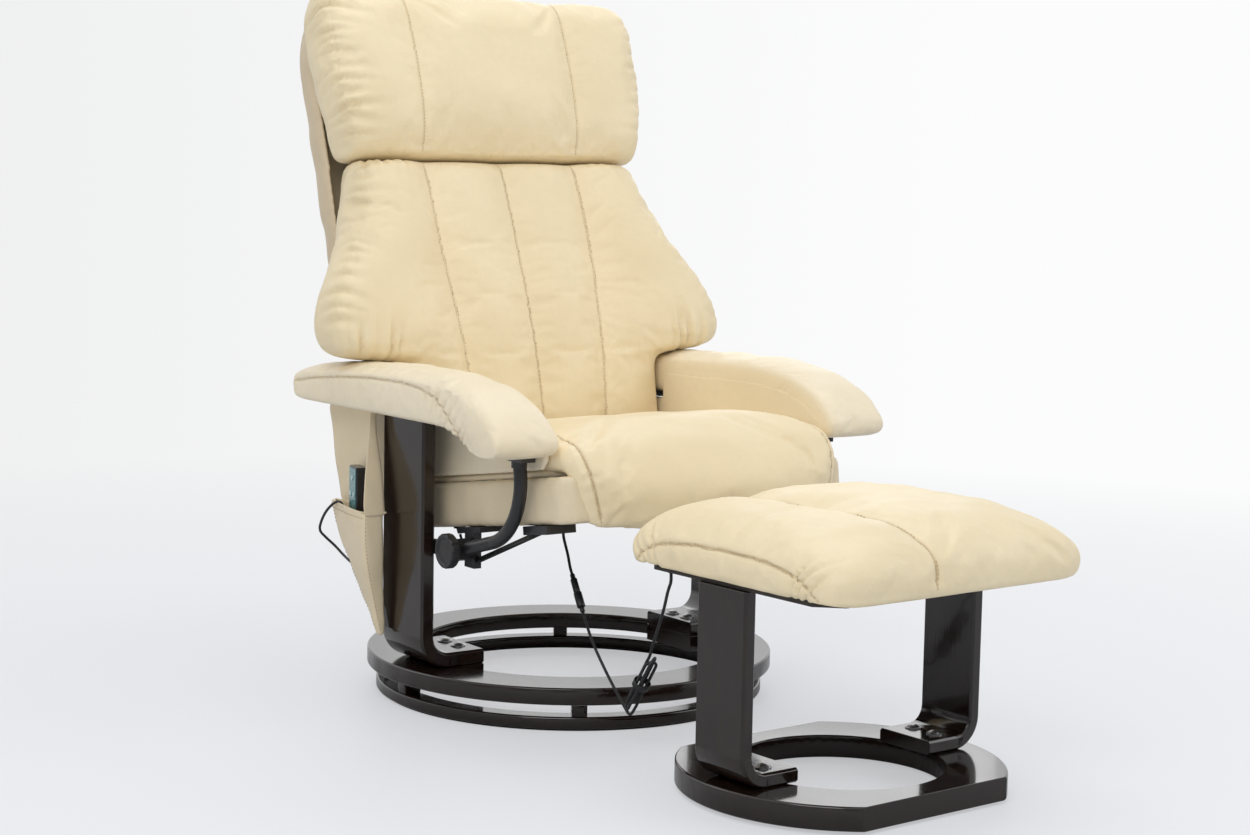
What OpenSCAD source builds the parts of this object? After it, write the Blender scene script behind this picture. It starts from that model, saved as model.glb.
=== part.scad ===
// Swivel massage recliner with a matching footstool.
// The chair's swivel axis is the Z axis, the floor is Z = 0 and the chair faces -Y.

/* [Swivel base] */
// Outside radius of the turning ring
ring_r = 310; // [295:1:330]
// Width of the turning ring's rim
ring_w = 76; // [66:1:84]
// Thickness of the turning ring
ring_t = 25; // [20:1:32]
// Outside radius of the floor ring
floor_ring_r = 296; // [285:1:305]
// Width of the floor ring's rim
floor_ring_w = 30; // [26:1:36]
// Thickness of the floor ring
floor_ring_t = 18; // [14:1:24]
// Thickness of the rubber foot under the floor ring
foot_t = 3.5; // [2:0.5:6]
// Open height between the two rings
ring_gap = 20; // [16:1:28]
// Number of spacer blocks between the rings
block_count = 6; // [4:1:8]
// Width of a spacer block, measured round the ring
block_w = 22; // [16:1:30]

/* [Chair legs] */
// Distance between the outer faces of the two legs
leg_span = 596; // [580:2:610]
// Width of the bentwood strip
leg_w = 116; // [100:2:130]
// Thickness of the bentwood strip
leg_t = 22; // [18:1:26]
// Height of a leg above the turning ring
leg_h = 364; // [350:1:390]
// Length of a leg's turned-in foot
leg_foot = 107; // [100:1:115]
// Outside radius of the leg's bend
leg_bend_r = 48; // [42:1:60]

/* [Arms] */
// Width across the outer faces of both arms
arm_span = 690; // [670:2:710]
// Width of one arm
arm_w = 105; // [95:1:110]
// Length of an arm from its back end to its nose
arm_len = 590; // [560:2:610]
// Height of the arm's crown above its underside
arm_h = 66; // [56:1:72]
// Drop of the curled nose under the arm's underside
arm_drop = 34; // [26:1:40]

/* [Seat] */
// Width of the seat cushion
seat_w = 506; // [490:2:510]
// Width of the seat box under the cushion
seat_box_w = 496; // [470:2:500]
// Length of the seat box, back to front
seat_box_len = 382; // [360:2:400]
// Height of the seat box
seat_box_h = 64; // [54:1:70]
// Thickness of the seat cushion over the box
seat_cushion_h = 66; // [50:1:80]
// Thickness of the seat box's boards
seat_board_t = 16; // [12:1:20]
// Backward slope of the seat in degrees
seat_tilt = 8.5; // [5:0.5:12]

/* [Back] */
// Backward lean of the back at rest in degrees
back_tilt = 19; // [15:1:24]
// Length of the back from its lower end to the crown of the headrest
back_len = 792; // [760:2:820]
// Length of the headrest roll
head_len = 276; // [250:2:300]
// Widest width of the headrest
head_w = 590; // [560:2:610]
// Width of the back across its wings
wing_w = 734; // [700:2:750]
// Width of the back between the arms
waist_w = 468; // [440:2:470]
// Width of the back cushion under the headrest
neck_w = 538; // [520:2:560]
// Thickness of the back cushion
back_cushion_t = 84; // [70:1:95]
// Thickness of the upholstered rear shell
back_shell_t = 54; // [46:1:64]

/* [Recline mechanism] */
// Radius of the bent glide tube
tube_r = 9.5; // [8:0.5:11]
// Length of the tube's straight run that the seat slides on
tube_run = 100; // [90:1:110]
// Centre-line radius of the tube's bend
tube_bend_r = 95; // [85:1:105]
// Radius of the clamp knob
knob_r = 25; // [20:1:30]
// Radius of the back's pivot pins
pivot_r = 6; // [5:0.5:7]

/* [Footstool] */
// Width of the footstool pad
pad_w = 456; // [430:2:480]
// Depth of the footstool pad
pad_d = 424; // [400:2:450]
// Height of the footstool pad's crown over its lower rim
pad_h = 92; // [80:1:100]
// Radius of the footstool's base
stool_r = 215; // [205:1:225]
// Depth of the footstool's base between its straight edges
stool_d = 349; // [335:1:370]
// Radius of the hole in the footstool's base
stool_hole_r = 135; // [120:1:140]
// Thickness of the footstool's base
stool_base_t = 31; // [24:1:34]
// Distance between the outer faces of the footstool's legs
stool_span = 420; // [400:2:424]
// Width of the footstool's bentwood strip
stool_leg_w = 92; // [80:2:100]
// Thickness of the footstool's bentwood strip
stool_leg_t = 19; // [16:1:22]
// Height of a footstool leg above its base
stool_leg_h = 250; // [235:1:265]
// Length of the footstool leg's turned-in foot
stool_foot = 94; // [86:1:100]
// Outside radius of the footstool leg's bend
stool_bend_r = 42; // [36:1:50]
// Thickness of the rubber discs under the footstool
stool_glide_t = 5; // [3:0.5:8]

/* [Handset and pouch] */
// Length of the handset
remote_len = 120; // [110:1:150]
// Width of the handset
remote_w = 40; // [36:1:46]
// Thickness of the handset
remote_t = 16; // [13:1:18]
// Number of keys on the handset
key_count = 5; // [5:1:5]
// Length of the pouch that hangs from the left arm
pouch_len = 332; // [310:1:340]
// Width of the pouch at its top
pouch_w = 138; // [125:1:145]
// Depth of the pouch's pocket
pouch_t = 27; // [24:1:30]

/* [Cords] */
// Diameter of the footstool's lead
lead_d = 4.2; // [3.6:0.2:5]
// Diameter of the handset's lead
hand_lead_d = 4; // [4:0.5:5]

/* [Hidden] */

$fn = 48;

// Clearances and small sizes
over = 1;
soft_gap = 0.3;
run_gap = 0.05;
slide_gap = 0.3;
chamfer = 2;
edge_r = 3;

// Heights of the base, from the floor up
floor_ring_z = foot_t;
block_z = floor_ring_z + floor_ring_t;
ring_z = block_z + ring_gap;
leg_z = ring_z + ring_t;
leg_top = leg_z + leg_h;
leg_x = leg_span / 2;

// The shoes on the spacer blocks and the groove that they run in
shoe_t = 4;
tongue_w = 9;
groove_depth = 5;
rim_mid_r = floor_ring_r - floor_ring_w / 2;
block_turn = -1;
foot_ring_w = 14;

// Bolts through the feet of the legs
bolt_r = 4;
bolt_head_r = 9;
bolt_head_h = 4;
washer_r = 11;
washer_t = 1.5;
nut_r = 7.5;
nut_t = 6;
nut_pocket_r = 9;
bolt_gap = 0.4;
bolt_pitch = 38;
stool_bolt_pitch = 40;

// Steel plates on the leg tops
plate_t = 5;
plate_w = 52;
plate_front = 148;
plate_back = 96;
arm_z = leg_top + plate_t;
arm_x = arm_span / 2;
arm_back_y = 262;

// Pivot of the back, in the back's own frame
back_y = 68;
back_under_top = 40.5;
back_z = leg_top - back_under_top;
back_low = -70;
pivot_s = 96;
frame_t = 106;
frame_r = 9;
frame_x = 192;
hub_r = 11;
pivot_y = back_y + pivot_s * sin(back_tilt) + frame_t * cos(back_tilt);
pivot_z = back_z + pivot_s * cos(back_tilt) - frame_t * sin(back_tilt);
bracket_t = 3;
bracket_x = waist_w / 2 + 1.5;
bracket_w = 38;

// Seat frame: its origin is the lower back edge of the seat box
seat_y = 46;
seat_under_top = 172.5;
seat_z = leg_top - seat_under_top;
webbing_t = 1.6;
webbing_w = 50;

// Glide tubes: the straight run starts at the clamp and climbs forward
glide_angle = 15;
tube_x = 266;
run_y = -100;
run_under_top = 183.5;
run_z = leg_top - run_under_top;
lug_t = 4;
lug_h = 20;
clamp_at = 16;
clamp_len = 26;
clamp_h = 30;

// Footstool's place on the floor
stool_x = -27;
stool_y = -670;
stool_turn = 2.4;
stool_leg_z = stool_glide_t + stool_base_t;
stool_top = stool_leg_z + stool_leg_h;
stool_leg_x = stool_span / 2;
deck_t = 14;
pad_shift_x = 8;
pad_shift_y = -8;
motor_r = 26;
motor_t = 18;

// Handset and pouch
pouch_x = 305;
pouch_y = 178;
pouch_wall = 2;
remote_turn = 14;
remote_x = -320.5;
remote_y = 92;
remote_under_top = 200.5;
remote_z = leg_top - remote_under_top;
key_r = 4;
key_travel = 1;
key_rise = 1.2;

// The eases from 0 to 1 that soft edges follow
function mix(a, b, k) = a + (b - a) * k;
function flip(p) = [for (i = [len(p) - 1:-1:0]) p[i]];

// A skin over a row of closed rings: each ring is an upper run of points and
// then the matching lower run backwards, so that its ends close like a ladder.
module skin(rings) {
    n = len(rings[0]);
    m = len(rings);
    h = n / 2;
    sides = [for (j = [0:m - 2], i = [0:n - 1]) let (a = j * n + i, b = j * n + (i + 1) % n)
        each [[a, a + n, b], [b, a + n, b + n]]];
    first = [for (i = [0:h - 2]) each [[i, i + 1, n - 1 - i], [i + 1, n - 2 - i, n - 1 - i]]];
    last = [for (t = first) [for (k = [2:-1:0]) t[k] + (m - 1) * n]];
    polyhedron([for (r = rings) each r], concat(sides, first, last), convexity = 8);
}

// A strip's section with chamfered edges
module strip(t, w) {
    x = t / 2;
    y = w / 2;
    c = edge_r;
    polygon([[-x + c, -y], [x - c, -y], [x, -y + c], [x, y - c],
        [x - c, y], [-x + c, y], [-x, y - c], [-x, -y + c]]);
}

// A flat ring with chamfered rims
module flat_ring(r, w, t) {
    rotate_extrude($fn = 180)
        polygon([[r - w, chamfer], [r - w + chamfer, 0], [r - chamfer, 0], [r, chamfer],
            [r, t - chamfer], [r - chamfer, t], [r - w + chamfer, t], [r - w, t - chamfer]]);
}

// A round bar between two points
module bar(a, b, r) {
    d = b - a;
    translate(a)
        rotate([0, acos(d[2] / norm(d)), atan2(d[1], d[0])])
            cylinder(h = norm(d), r = r);
}

// The pieces of the base that stand still

module floor_foot_ring() {
    color("black")
        rotate_extrude($fn = 180)
            translate([rim_mid_r - foot_ring_w / 2, 0]) square([foot_ring_w, foot_t]);
}

module floor_ring() {
    color([0.07, 0.05, 0.05])
        translate([0, 0, floor_ring_z]) flat_ring(floor_ring_r, floor_ring_w, floor_ring_t);
}

module round_the_ring() {
    for (i = [0:block_count - 1]) rotate([0, 0, block_turn + i * 360 / block_count]) children();
}

module ring_spacer_blocks() {
    h = ring_gap - shoe_t - slide_gap;
    color([0.09, 0.06, 0.05])
        round_the_ring() intersection() {
            translate([0, 0, block_z]) difference() {
                cylinder(h = h, r = floor_ring_r - chamfer, $fn = 180);
                translate([0, 0, -over])
                    cylinder(h = h + 2 * over, r = floor_ring_r - floor_ring_w + chamfer, $fn = 180);
            }
            translate([rim_mid_r - floor_ring_w, -block_w / 2, block_z - over])
                cube([2 * floor_ring_w, block_w, h + 2 * over]);
        }
}

module swivel_shoes() {
    z = ring_z - slide_gap - shoe_t;
    rise = groove_depth - slide_gap;
    color("ivory")
        round_the_ring() intersection() {
            union() {
                translate([0, 0, z]) difference() {
                    cylinder(h = shoe_t, r = floor_ring_r - 2 * chamfer, $fn = 180);
                    translate([0, 0, -over])
                        cylinder(h = shoe_t + 2 * over, r = floor_ring_r - floor_ring_w + 2 * chamfer, $fn = 180);
                }
                translate([0, 0, z]) difference() {
                    cylinder(h = shoe_t + rise, r = rim_mid_r + tongue_w / 2, $fn = 180);
                    translate([0, 0, -over])
                        cylinder(h = shoe_t + rise + 2 * over, r = rim_mid_r - tongue_w / 2, $fn = 180);
                }
            }
            translate([rim_mid_r - floor_ring_w, -block_w / 2 + chamfer, z - over])
                cube([2 * floor_ring_w, block_w - 2 * chamfer, shoe_t + rise + 2 * over]);
        }
}

// Bentwood legs: a foot, a bend and an upright of one section

module bent_leg(x, z, w, t, h, foot, r) {
    translate([x - t / 2, 0, z + r]) linear_extrude(h - r) strip(t, w);
    translate([x - r, 0, z + r])
        rotate([90, 0, 0]) rotate([0, 0, -90])
            rotate_extrude(angle = 90, $fn = 96) translate([r - t / 2, 0]) strip(t, w);
    translate([x - foot, 0, z + t / 2])
        rotate([0, 90, 0]) linear_extrude(foot - r) strip(t, w);
}

module bolt_places(reach, pitch) {
    for (s = [-1, 1]) for (k = [-0.5, 0.5]) translate([s * reach, k * pitch, 0]) children();
}

module bolt_hole(z, deep) {
    translate([0, 0, z - over]) cylinder(h = deep + 2 * over, r = bolt_r + bolt_gap);
}

module domed_bolt(z, deep) {
    translate([0, 0, z]) cylinder(h = washer_t, r = washer_r);
    dome_r = (pow(bolt_head_r, 2) + pow(bolt_head_h, 2)) / (2 * bolt_head_h);
    translate([0, 0, z + washer_t]) rotate_extrude()
        intersection() {
            translate([0, bolt_head_h - dome_r]) circle(r = dome_r, $fn = 96);
            square([bolt_head_r, bolt_head_h]);
        }
    translate([0, 0, z - deep]) cylinder(h = deep, r = bolt_r);
    translate([0, 0, z - deep]) cylinder(h = nut_t, r = nut_r, $fn = 6);
}

leg_bolt_x = leg_x - leg_foot + (leg_foot - leg_bend_r) * 0.36;
leg_bolt_deep = leg_t + ring_t - chamfer;

module chair_leg() {
    difference() {
        bent_leg(leg_x, leg_z, leg_w, leg_t, leg_h, leg_foot, leg_bend_r);
        bolt_places(leg_bolt_x, bolt_pitch) bolt_hole(leg_z, leg_t);
    }
}

module left_leg() {
    color([0.09, 0.06, 0.05]) mirror([1, 0, 0]) chair_leg();
}

module right_leg() {
    color([0.09, 0.06, 0.05]) chair_leg();
}

module swivel_ring() {
    color([0.07, 0.05, 0.05]) difference() {
        union() {
            translate([0, 0, ring_z]) flat_ring(ring_r, ring_w, ring_t);
            for (s = [-1, 1]) scale([s, 1, 1])
                translate([leg_x - leg_foot, -leg_w / 2, ring_z])
                    cube([leg_foot - leg_bend_r, leg_w, ring_t]);
        }
        translate([0, 0, ring_z - over]) difference() {
            cylinder(h = groove_depth + over, r = rim_mid_r + tongue_w / 2 + slide_gap, $fn = 180);
            cylinder(h = groove_depth + over, r = rim_mid_r - tongue_w / 2 - slide_gap, $fn = 180);
        }
        bolt_places(leg_bolt_x, bolt_pitch) {
            bolt_hole(ring_z, ring_t);
            translate([0, 0, ring_z - over]) cylinder(h = nut_t + chamfer + over, r = nut_pocket_r);
        }
    }
}

module leg_bolts() {
    color("gray")
        bolt_places(leg_bolt_x, bolt_pitch) domed_bolt(leg_z + leg_t, leg_bolt_deep);
}

module arm_plate() {
    translate([leg_x + chamfer - plate_w, -plate_front, leg_top])
        cube([plate_w, plate_front + plate_back, plate_t]);
}

module left_arm_plate() {
    color([0.12, 0.12, 0.13]) mirror([1, 0, 0]) arm_plate();
}

module right_arm_plate() {
    color([0.12, 0.12, 0.13]) arm_plate();
}

// The arms: the profile of one side, from the back end to the nose, as shares
// of the arm's length and of its height over, or its drop under, the underside
arm_top_share = [[0, 0.35], [0.004, 0.5], [0.02, 0.6], [0.06, 0.68], [0.14, 0.78], [0.26, 0.89],
    [0.4, 0.97], [0.54, 1], [0.66, 0.99], [0.76, 0.93], [0.84, 0.8], [0.9, 0.62], [0.95, 0.38],
    [0.985, 0.1], [1, -0.16]];
arm_low_share = [[0.003, 0.2], [0.01, 0.06], [0.03, 0], [0.07, 0], [0.15, 0], [0.27, 0], [0.41, 0],
    [0.54, 0], [0.66, 0], [0.745, 0], [0.8, -0.22], [0.845, -0.75], [0.885, -1], [0.95, -1],
    [0.99, -0.8]];
// Places across a cushion and how far its edges are drawn together there
arm_edge_share = [[-1, 0.34], [-0.95, 0.14], [-0.84, 0.03], [-0.6, 0], [0, 0], [0.6, 0], [0.84, 0.03],
    [0.95, 0.14], [1, 0.34]];
arm_crown = 5;

function pinch_ring(top, low, k) =
    concat([for (i = [0:len(top) - 1]) mix(top[i], low[i], k / 2)],
        flip([for (i = [0:len(top) - 1]) mix(low[i], top[i], k / 2)]));

function arm_ring(x, k, crown) = let (
    top = [for (p = arm_top_share) [x, -p[0] * arm_len, p[1] * arm_h + crown * p[1]]],
    low = [for (p = arm_low_share) [x, -p[0] * arm_len, p[1] < 0 ? p[1] * arm_drop : p[1] * arm_h]])
    pinch_ring(top, low, k);

module arm_pad() {
    translate([arm_x - arm_w / 2, arm_back_y, arm_z + soft_gap])
        skin([for (e = arm_edge_share)
            arm_ring(e[0] * arm_w / 2, e[1], arm_crown * (1 - e[0] * e[0]))]);
}

module left_arm() {
    color([0.94, 0.86, 0.68]) mirror([1, 0, 0]) arm_pad();
}

module right_arm() {
    color([0.94, 0.86, 0.68]) arm_pad();
}

// The glide tubes: a lug on the leg, a straight run and a bend up to the arm
run_end_y = run_y - tube_run * cos(glide_angle);
run_end_z = run_z + tube_run * sin(glide_angle);
bend_y = run_end_y + tube_bend_r * sin(glide_angle);
bend_z = run_end_z + tube_bend_r * cos(glide_angle);
flange_t = 6;
flange_w = 23;
nose_z = arm_z - arm_drop;
collar_r = 11;
collar_h = 9;
tube_turn = acos((bend_z - nose_z + flange_t + collar_h / 3) / tube_bend_r) - glide_angle;
tube_top_y = bend_y - tube_bend_r * sin(tube_turn + glide_angle);
run_lead = 8;
lug_back = 30;
lug_bolt_r = 7;
lug_bolt_h = 4;

module glide_tube() {
    translate([tube_x, run_y, run_z]) rotate([90 - glide_angle, 0, 0])
        translate([0, 0, -run_lead]) cylinder(h = tube_run + run_lead, r = tube_r);
    translate([tube_x, bend_y, bend_z]) rotate([180 - glide_angle, 0, 0]) rotate([0, -90, 0])
        rotate_extrude(angle = tube_turn, $fn = 96) translate([tube_bend_r, 0]) circle(r = tube_r);
    translate([tube_x, tube_top_y, nose_z - flange_t - collar_h]) cylinder(h = collar_h + over, r = collar_r);
    translate([tube_x - flange_w / 2, tube_top_y - flange_w, nose_z - flange_t])
        cube([flange_w, 2 * flange_w, flange_t]);
    translate([leg_x - leg_t - 2 * lug_t, run_y + run_lead / 2, run_z - lug_h / 2])
        cube([2 * lug_t, lug_back - run_y, lug_h]);
    for (k = [-1, 1])
        translate([leg_x - leg_t - 2 * lug_t, k * bolt_pitch / 2, run_z])
            rotate([0, -90, 0]) cylinder(h = lug_bolt_h, r = lug_bolt_r);
}

module left_glide_tube() {
    color([0.1, 0.1, 0.11]) mirror([1, 0, 0]) glide_tube();
}

module right_glide_tube() {
    color([0.1, 0.1, 0.11]) glide_tube();
}

// Steel brackets under the arms that carry the back's pivot pins
bracket_low = 4;
bracket_reach = 48;
bracket_up = 14;

module back_bracket() {
    translate([bracket_x, pivot_y - bracket_w / 2, arm_z - plate_t])
        cube([bracket_t, bracket_w, pivot_z + bracket_up - arm_z + plate_t]);
    translate([bracket_x, plate_back + soft_gap, arm_z - plate_t])
        cube([bracket_reach, pivot_y + bracket_w / 2 - plate_back - soft_gap, bracket_low]);
    translate([bracket_x + over, pivot_y, pivot_z]) rotate([0, -90, 0])
        cylinder(h = bracket_x + over - frame_x - frame_r - over, r = pivot_r);
}

module left_back_bracket() {
    color([0.12, 0.12, 0.13]) mirror([1, 0, 0]) back_bracket();
}

module right_back_bracket() {
    color([0.12, 0.12, 0.13]) back_bracket();
}

// The pouch: a back panel, a gusset down its front edge and a pocket below
pouch_top = arm_z - soft_gap;
pouch_front = pouch_y - pouch_w;
mouth_z = pouch_top - 0.445 * pouch_len;
tip_z = pouch_top - pouch_len;
mouth_dip = 14;
tip_w = 10;
tip_t = 8;
pouch_bow = 8;
gusset_top_share = 0.4;
rear_t_share = 0.5;
pocket_t = pouch_t + 12;
belly_drop = 70;
belly_in = 34;

module pouch_level(y0, y1, x1, x2, z, inset) {
    translate([0, 0, z]) linear_extrude(0.1) mirror([1, 0])
        polygon([[pouch_x + inset, y0 + inset], [pouch_x + x1 - inset, y0 + inset],
            [pouch_x + x2 - inset, y1 - 2 * inset], [pouch_x + inset, y1 - inset]]);
}

module pocket_form(inset, lift) {
    hull() {
        pouch_level(pouch_front - pouch_bow, pouch_y - pouch_bow, pocket_t, pocket_t * rear_t_share,
            mouth_z + lift, inset);
        pouch_level(pouch_front - pouch_bow, pouch_y - 2 * pouch_bow - belly_in, pocket_t,
            pocket_t * rear_t_share, mouth_z - belly_drop, inset);
    }
    hull() {
        pouch_level(pouch_front - pouch_bow, pouch_y - 2 * pouch_bow - belly_in, pocket_t,
            pocket_t * rear_t_share, mouth_z - belly_drop, inset);
        pouch_level(pouch_front - pouch_bow / 2, pouch_front - pouch_bow / 2 + tip_w + 4 * inset,
            tip_t + inset, tip_t + inset, tip_z + 3 * inset, inset);
    }
}

module side_pouch() {
    color([0.8, 0.7, 0.53]) {
        difference() {
            pocket_form(0, 0);
            pocket_form(pouch_wall, over);
        }
        hull() {
            pouch_level(pouch_front, pouch_y, pouch_wall, pouch_wall, pouch_top - over, 0);
            pouch_level(pouch_front - pouch_bow, pouch_y - pouch_bow, pouch_wall, pouch_wall, mouth_z - over, 0);
        }
        hull() {
            pouch_level(pouch_front, pouch_front + pouch_wall, pouch_t * gusset_top_share,
                pouch_t * gusset_top_share, pouch_top - over, 0);
            pouch_level(pouch_front - pouch_bow, pouch_front - pouch_bow + pouch_wall, pocket_t, pocket_t,
                mouth_z - over, 0);
        }
    }
}

// The seat unit, in its own sloping frame

module seat_place() {
    translate([0, seat_y, seat_z]) rotate([-seat_tilt, 0, 0]) children();
}

controller_x = 60;
controller_size = [120, 90, 34];
cover_t = 3;

module seat_box() {
    color([0.8, 0.71, 0.54]) seat_place() difference() {
        translate([-seat_box_w / 2, -seat_box_len, 0]) cube([seat_box_w, seat_box_len, seat_box_h]);
        translate([-seat_box_w / 2 + seat_board_t, -seat_box_len + seat_board_t, -over])
            cube([seat_box_w - 2 * seat_board_t, seat_box_len - 2 * seat_board_t, seat_box_h + 2 * over]);
    }
}

strap_count = 5;

module seat_webbing() {
    color([0.2, 0.2, 0.2]) seat_place() for (i = [0:strap_count - 1])
        translate([-seat_box_w / 2 + seat_board_t / 2,
            -seat_box_len + seat_board_t + (i + 0.5) * (seat_box_len - 2 * seat_board_t) / strap_count - webbing_w / 2,
            seat_box_h])
            cube([seat_box_w - seat_board_t, webbing_w, webbing_t]);
}

module seat_dust_cover() {
    color([0.15, 0.15, 0.15]) seat_place() difference() {
        translate([-seat_box_w / 2 + seat_board_t, -seat_box_len + seat_board_t, 0])
            cube([seat_box_w - 2 * seat_board_t, seat_box_len - 2 * seat_board_t, cover_t]);
    }
}

module massage_controller() {
    color([0.16, 0.16, 0.17]) seat_place()
        translate([controller_x - controller_size[0] / 2, -seat_box_len * 0.7, cover_t])
            cube(controller_size);
}

module puck_motor(t) {
    cylinder(h = t, r = motor_r);
}

module seat_motor() {
    color([0.3, 0.3, 0.32]) seat_place()
        translate([0, -seat_box_len * 0.3, seat_box_h - motor_t]) puck_motor(motor_t);
}

// The seat cushion: points from the back over the crown and down the front,
// and the matching points underneath, as shares of its length and thickness
cushion_len = 432;
seat_top_share = [[0.008, 0.8], [0.022, 0.9], [0.06, 0.97], [0.15, 1], [0.28, 1.01], [0.42, 1], [0.56, 0.99],
    [0.7, 0.96], [0.81, 0.9], [0.89, 0.79], [0.945, 0.6], [0.98, 0.3], [1, -0.1], [0.998, -0.6],
    [0.985, -1.08], [0.965, -1.38]];
seat_low_share = [[0.004, 0.35], [0.012, 0.1], [0.05, 0], [0.15, 0], [0.28, 0], [0.42, 0], [0.56, 0], [0.68, 0],
    [0.76, 0], [0.82, 0], [0.86, 0], [0.888, 0], [0.892, -0.3], [0.9, -0.7], [0.912, -1.1], [0.935, -1.36]];
seat_edge_share = [[-1, 0.62], [-0.985, 0.4], [-0.94, 0.16], [-0.85, 0.04], [-0.65, 0], [-0.33, 0], [0, 0],
    [0.33, 0], [0.65, 0], [0.85, 0.04], [0.94, 0.16], [0.985, 0.4], [1, 0.62]];
corner_in = 40;
fall_in_share = 0.17;
seat_crown = 6;
edge_rise = 14;
between_arms_in = 14;

function fall(i) = i < 10 ? 0 : (i - 9) / 6;
function past_arms(i) = min(1, max(0, (i - 9) / 3));
function seat_point(p, i, xs, k, crown) = let (
    front = max(0, (p[0] - 0.72) / 0.28),
    half = seat_w / 2 - between_arms_in * (1 - past_arms(i)),
    y = -p[0] * cushion_len + front * k * corner_in,
    lift = max(0, -p[1]) * abs(xs) * abs(xs) * edge_rise)
    [xs * half * (1 - fall_in_share * fall(i)), i > 10 ? min(y, -seat_box_len - 2 * soft_gap) : y,
        seat_box_h + webbing_t + soft_gap + p[1] * seat_cushion_h + lift + crown];

module seat_cushion() {
    color([0.96, 0.88, 0.68]) seat_place()
        skin([for (e = seat_edge_share) let (
            crown = seat_crown * (1 - e[0] * e[0]),
            top = [for (i = [0:15]) seat_point(seat_top_share[i], i, e[0], e[1], i < 9 ? crown : 0)],
            low = [for (i = [0:15]) seat_point(seat_low_share[i], i, e[0], e[1], 0)])
            pinch_ring(top, low, e[1])]);
}

// Glide brackets under the seat box: a clamp block round the tube, a riser and a stay

clamp_y = run_y - clamp_at * cos(glide_angle);
clamp_z = run_z + clamp_at * sin(glide_angle);
clamp_w = 27;
riser_t = 12;
riser_low = 12;
stay_r = 4;
stay_y = -288;
stay_x = 236;
riser_x = tube_x - clamp_w / 2 - riser_t / 2 + over;
foot_plate_t = 4;
foot_plate_len = 60;
stud_r = 4;
plate_in = min(seat_box_w / 2, stay_x) - foot_plate_len / 2;
plate_out = max(seat_box_w / 2, riser_x + riser_t / 2);
function seat_under(y) = seat_z + (seat_y - y) * tan(seat_tilt);

module glide_bracket() {
    difference() {
        translate([tube_x, clamp_y, clamp_z]) rotate([90 - glide_angle, 0, 0])
            translate([-clamp_w / 2, -clamp_h / 2, -clamp_len / 2]) cube([clamp_w, clamp_h, clamp_len]);
        translate([tube_x, run_y, run_z]) rotate([90 - glide_angle, 0, 0])
            translate([0, 0, -clamp_len]) cylinder(h = tube_run, r = tube_r + run_gap);
        translate([tube_x, clamp_y, clamp_z]) rotate([0, 90, 0])
            cylinder(h = clamp_w, r = stud_r + run_gap);
    }
    translate([riser_x - riser_t / 2, clamp_y - clamp_len / 2, clamp_z - clamp_h / 2 - riser_low])
        cube([riser_t, clamp_len, seat_under(clamp_y) - clamp_z + clamp_h / 2 + riser_low - foot_plate_t]);
    seat_place() translate([plate_in, clamp_y - seat_y - foot_plate_len / 2, -2 * foot_plate_t])
        cube([plate_out - plate_in, foot_plate_len, 2 * foot_plate_t]);
    bar([riser_x, clamp_y, clamp_z - clamp_h / 2 - riser_low / 2],
        [stay_x, stay_y, seat_under(stay_y) - 1.5 * foot_plate_t], stay_r);
    seat_place() translate([plate_in, stay_y - seat_y - foot_plate_len / 2, -3 * foot_plate_t])
        cube([plate_out - plate_in, foot_plate_len, 3 * foot_plate_t]);
}

module left_glide_bracket() {
    color([0.1, 0.1, 0.11]) mirror([1, 0, 0]) glide_bracket();
}

module right_glide_bracket() {
    color([0.1, 0.1, 0.11]) glide_bracket();
}

knob_t = 15;
knob_dish = 3;
flute_count = 12;
flute_r = 3;
stud_len = 10;

module clamp_knob() {
    x = tube_x + clamp_w / 2 + slide_gap;
    color([0.1, 0.1, 0.11]) mirror([1, 0, 0])
        translate([x, clamp_y, clamp_z]) rotate([0, 90, 0]) {
            difference() {
                rotate_extrude($fn = 96)
                    polygon([[0, 0], [knob_r / 2, 0], [knob_r / 2, knob_dish], [knob_r - chamfer, knob_dish],
                        [knob_r, knob_dish + chamfer], [knob_r, knob_t], [knob_r - chamfer, knob_t + chamfer],
                        [knob_r * 0.78, knob_t + chamfer], [knob_r * 0.7, knob_t], [0, knob_t]]);
                for (i = [0:flute_count - 1]) rotate([0, 0, i * 360 / flute_count])
                    translate([knob_r + flute_r / 2, 0, -over]) cylinder(h = knob_t + 4 * over, r = flute_r);
            }
            translate([0, 0, -slide_gap - clamp_w / 2 + tube_r + slide_gap + run_gap])
                cylinder(h = clamp_w / 2 - tube_r + over, r = stud_r);
        }
}

// The seat's cord glands
gland_r = 6;
gland_h = 11;
gland_at = [-110, -187.5];
hand_gland_at = [-214, -70];

module seat_cord_gland() {
    color("black") seat_place() for (p = [gland_at, hand_gland_at])
        translate([p[0], p[1], -gland_h]) {
            cylinder(h = gland_h, r1 = 0.6 * gland_r, r2 = gland_r);
            translate([0, 0, gland_h - cover_t]) cylinder(h = cover_t, r = 1.5 * gland_r);
        }
}

// The back, in its own leaning frame: y is towards the rear and z is up the back
module back_place() {
    translate([0, back_y, back_z]) rotate([-back_tilt, 0, 0]) children();
}

head_low = back_len + back_low - head_len;
frame_low = -40;
frame_high = 650;
cross_r = 8;
cross_at = [-30, 260, 640];
hub_end = waist_w / 2 - 2;
hub_from = frame_x + frame_r + 0.5;

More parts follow.
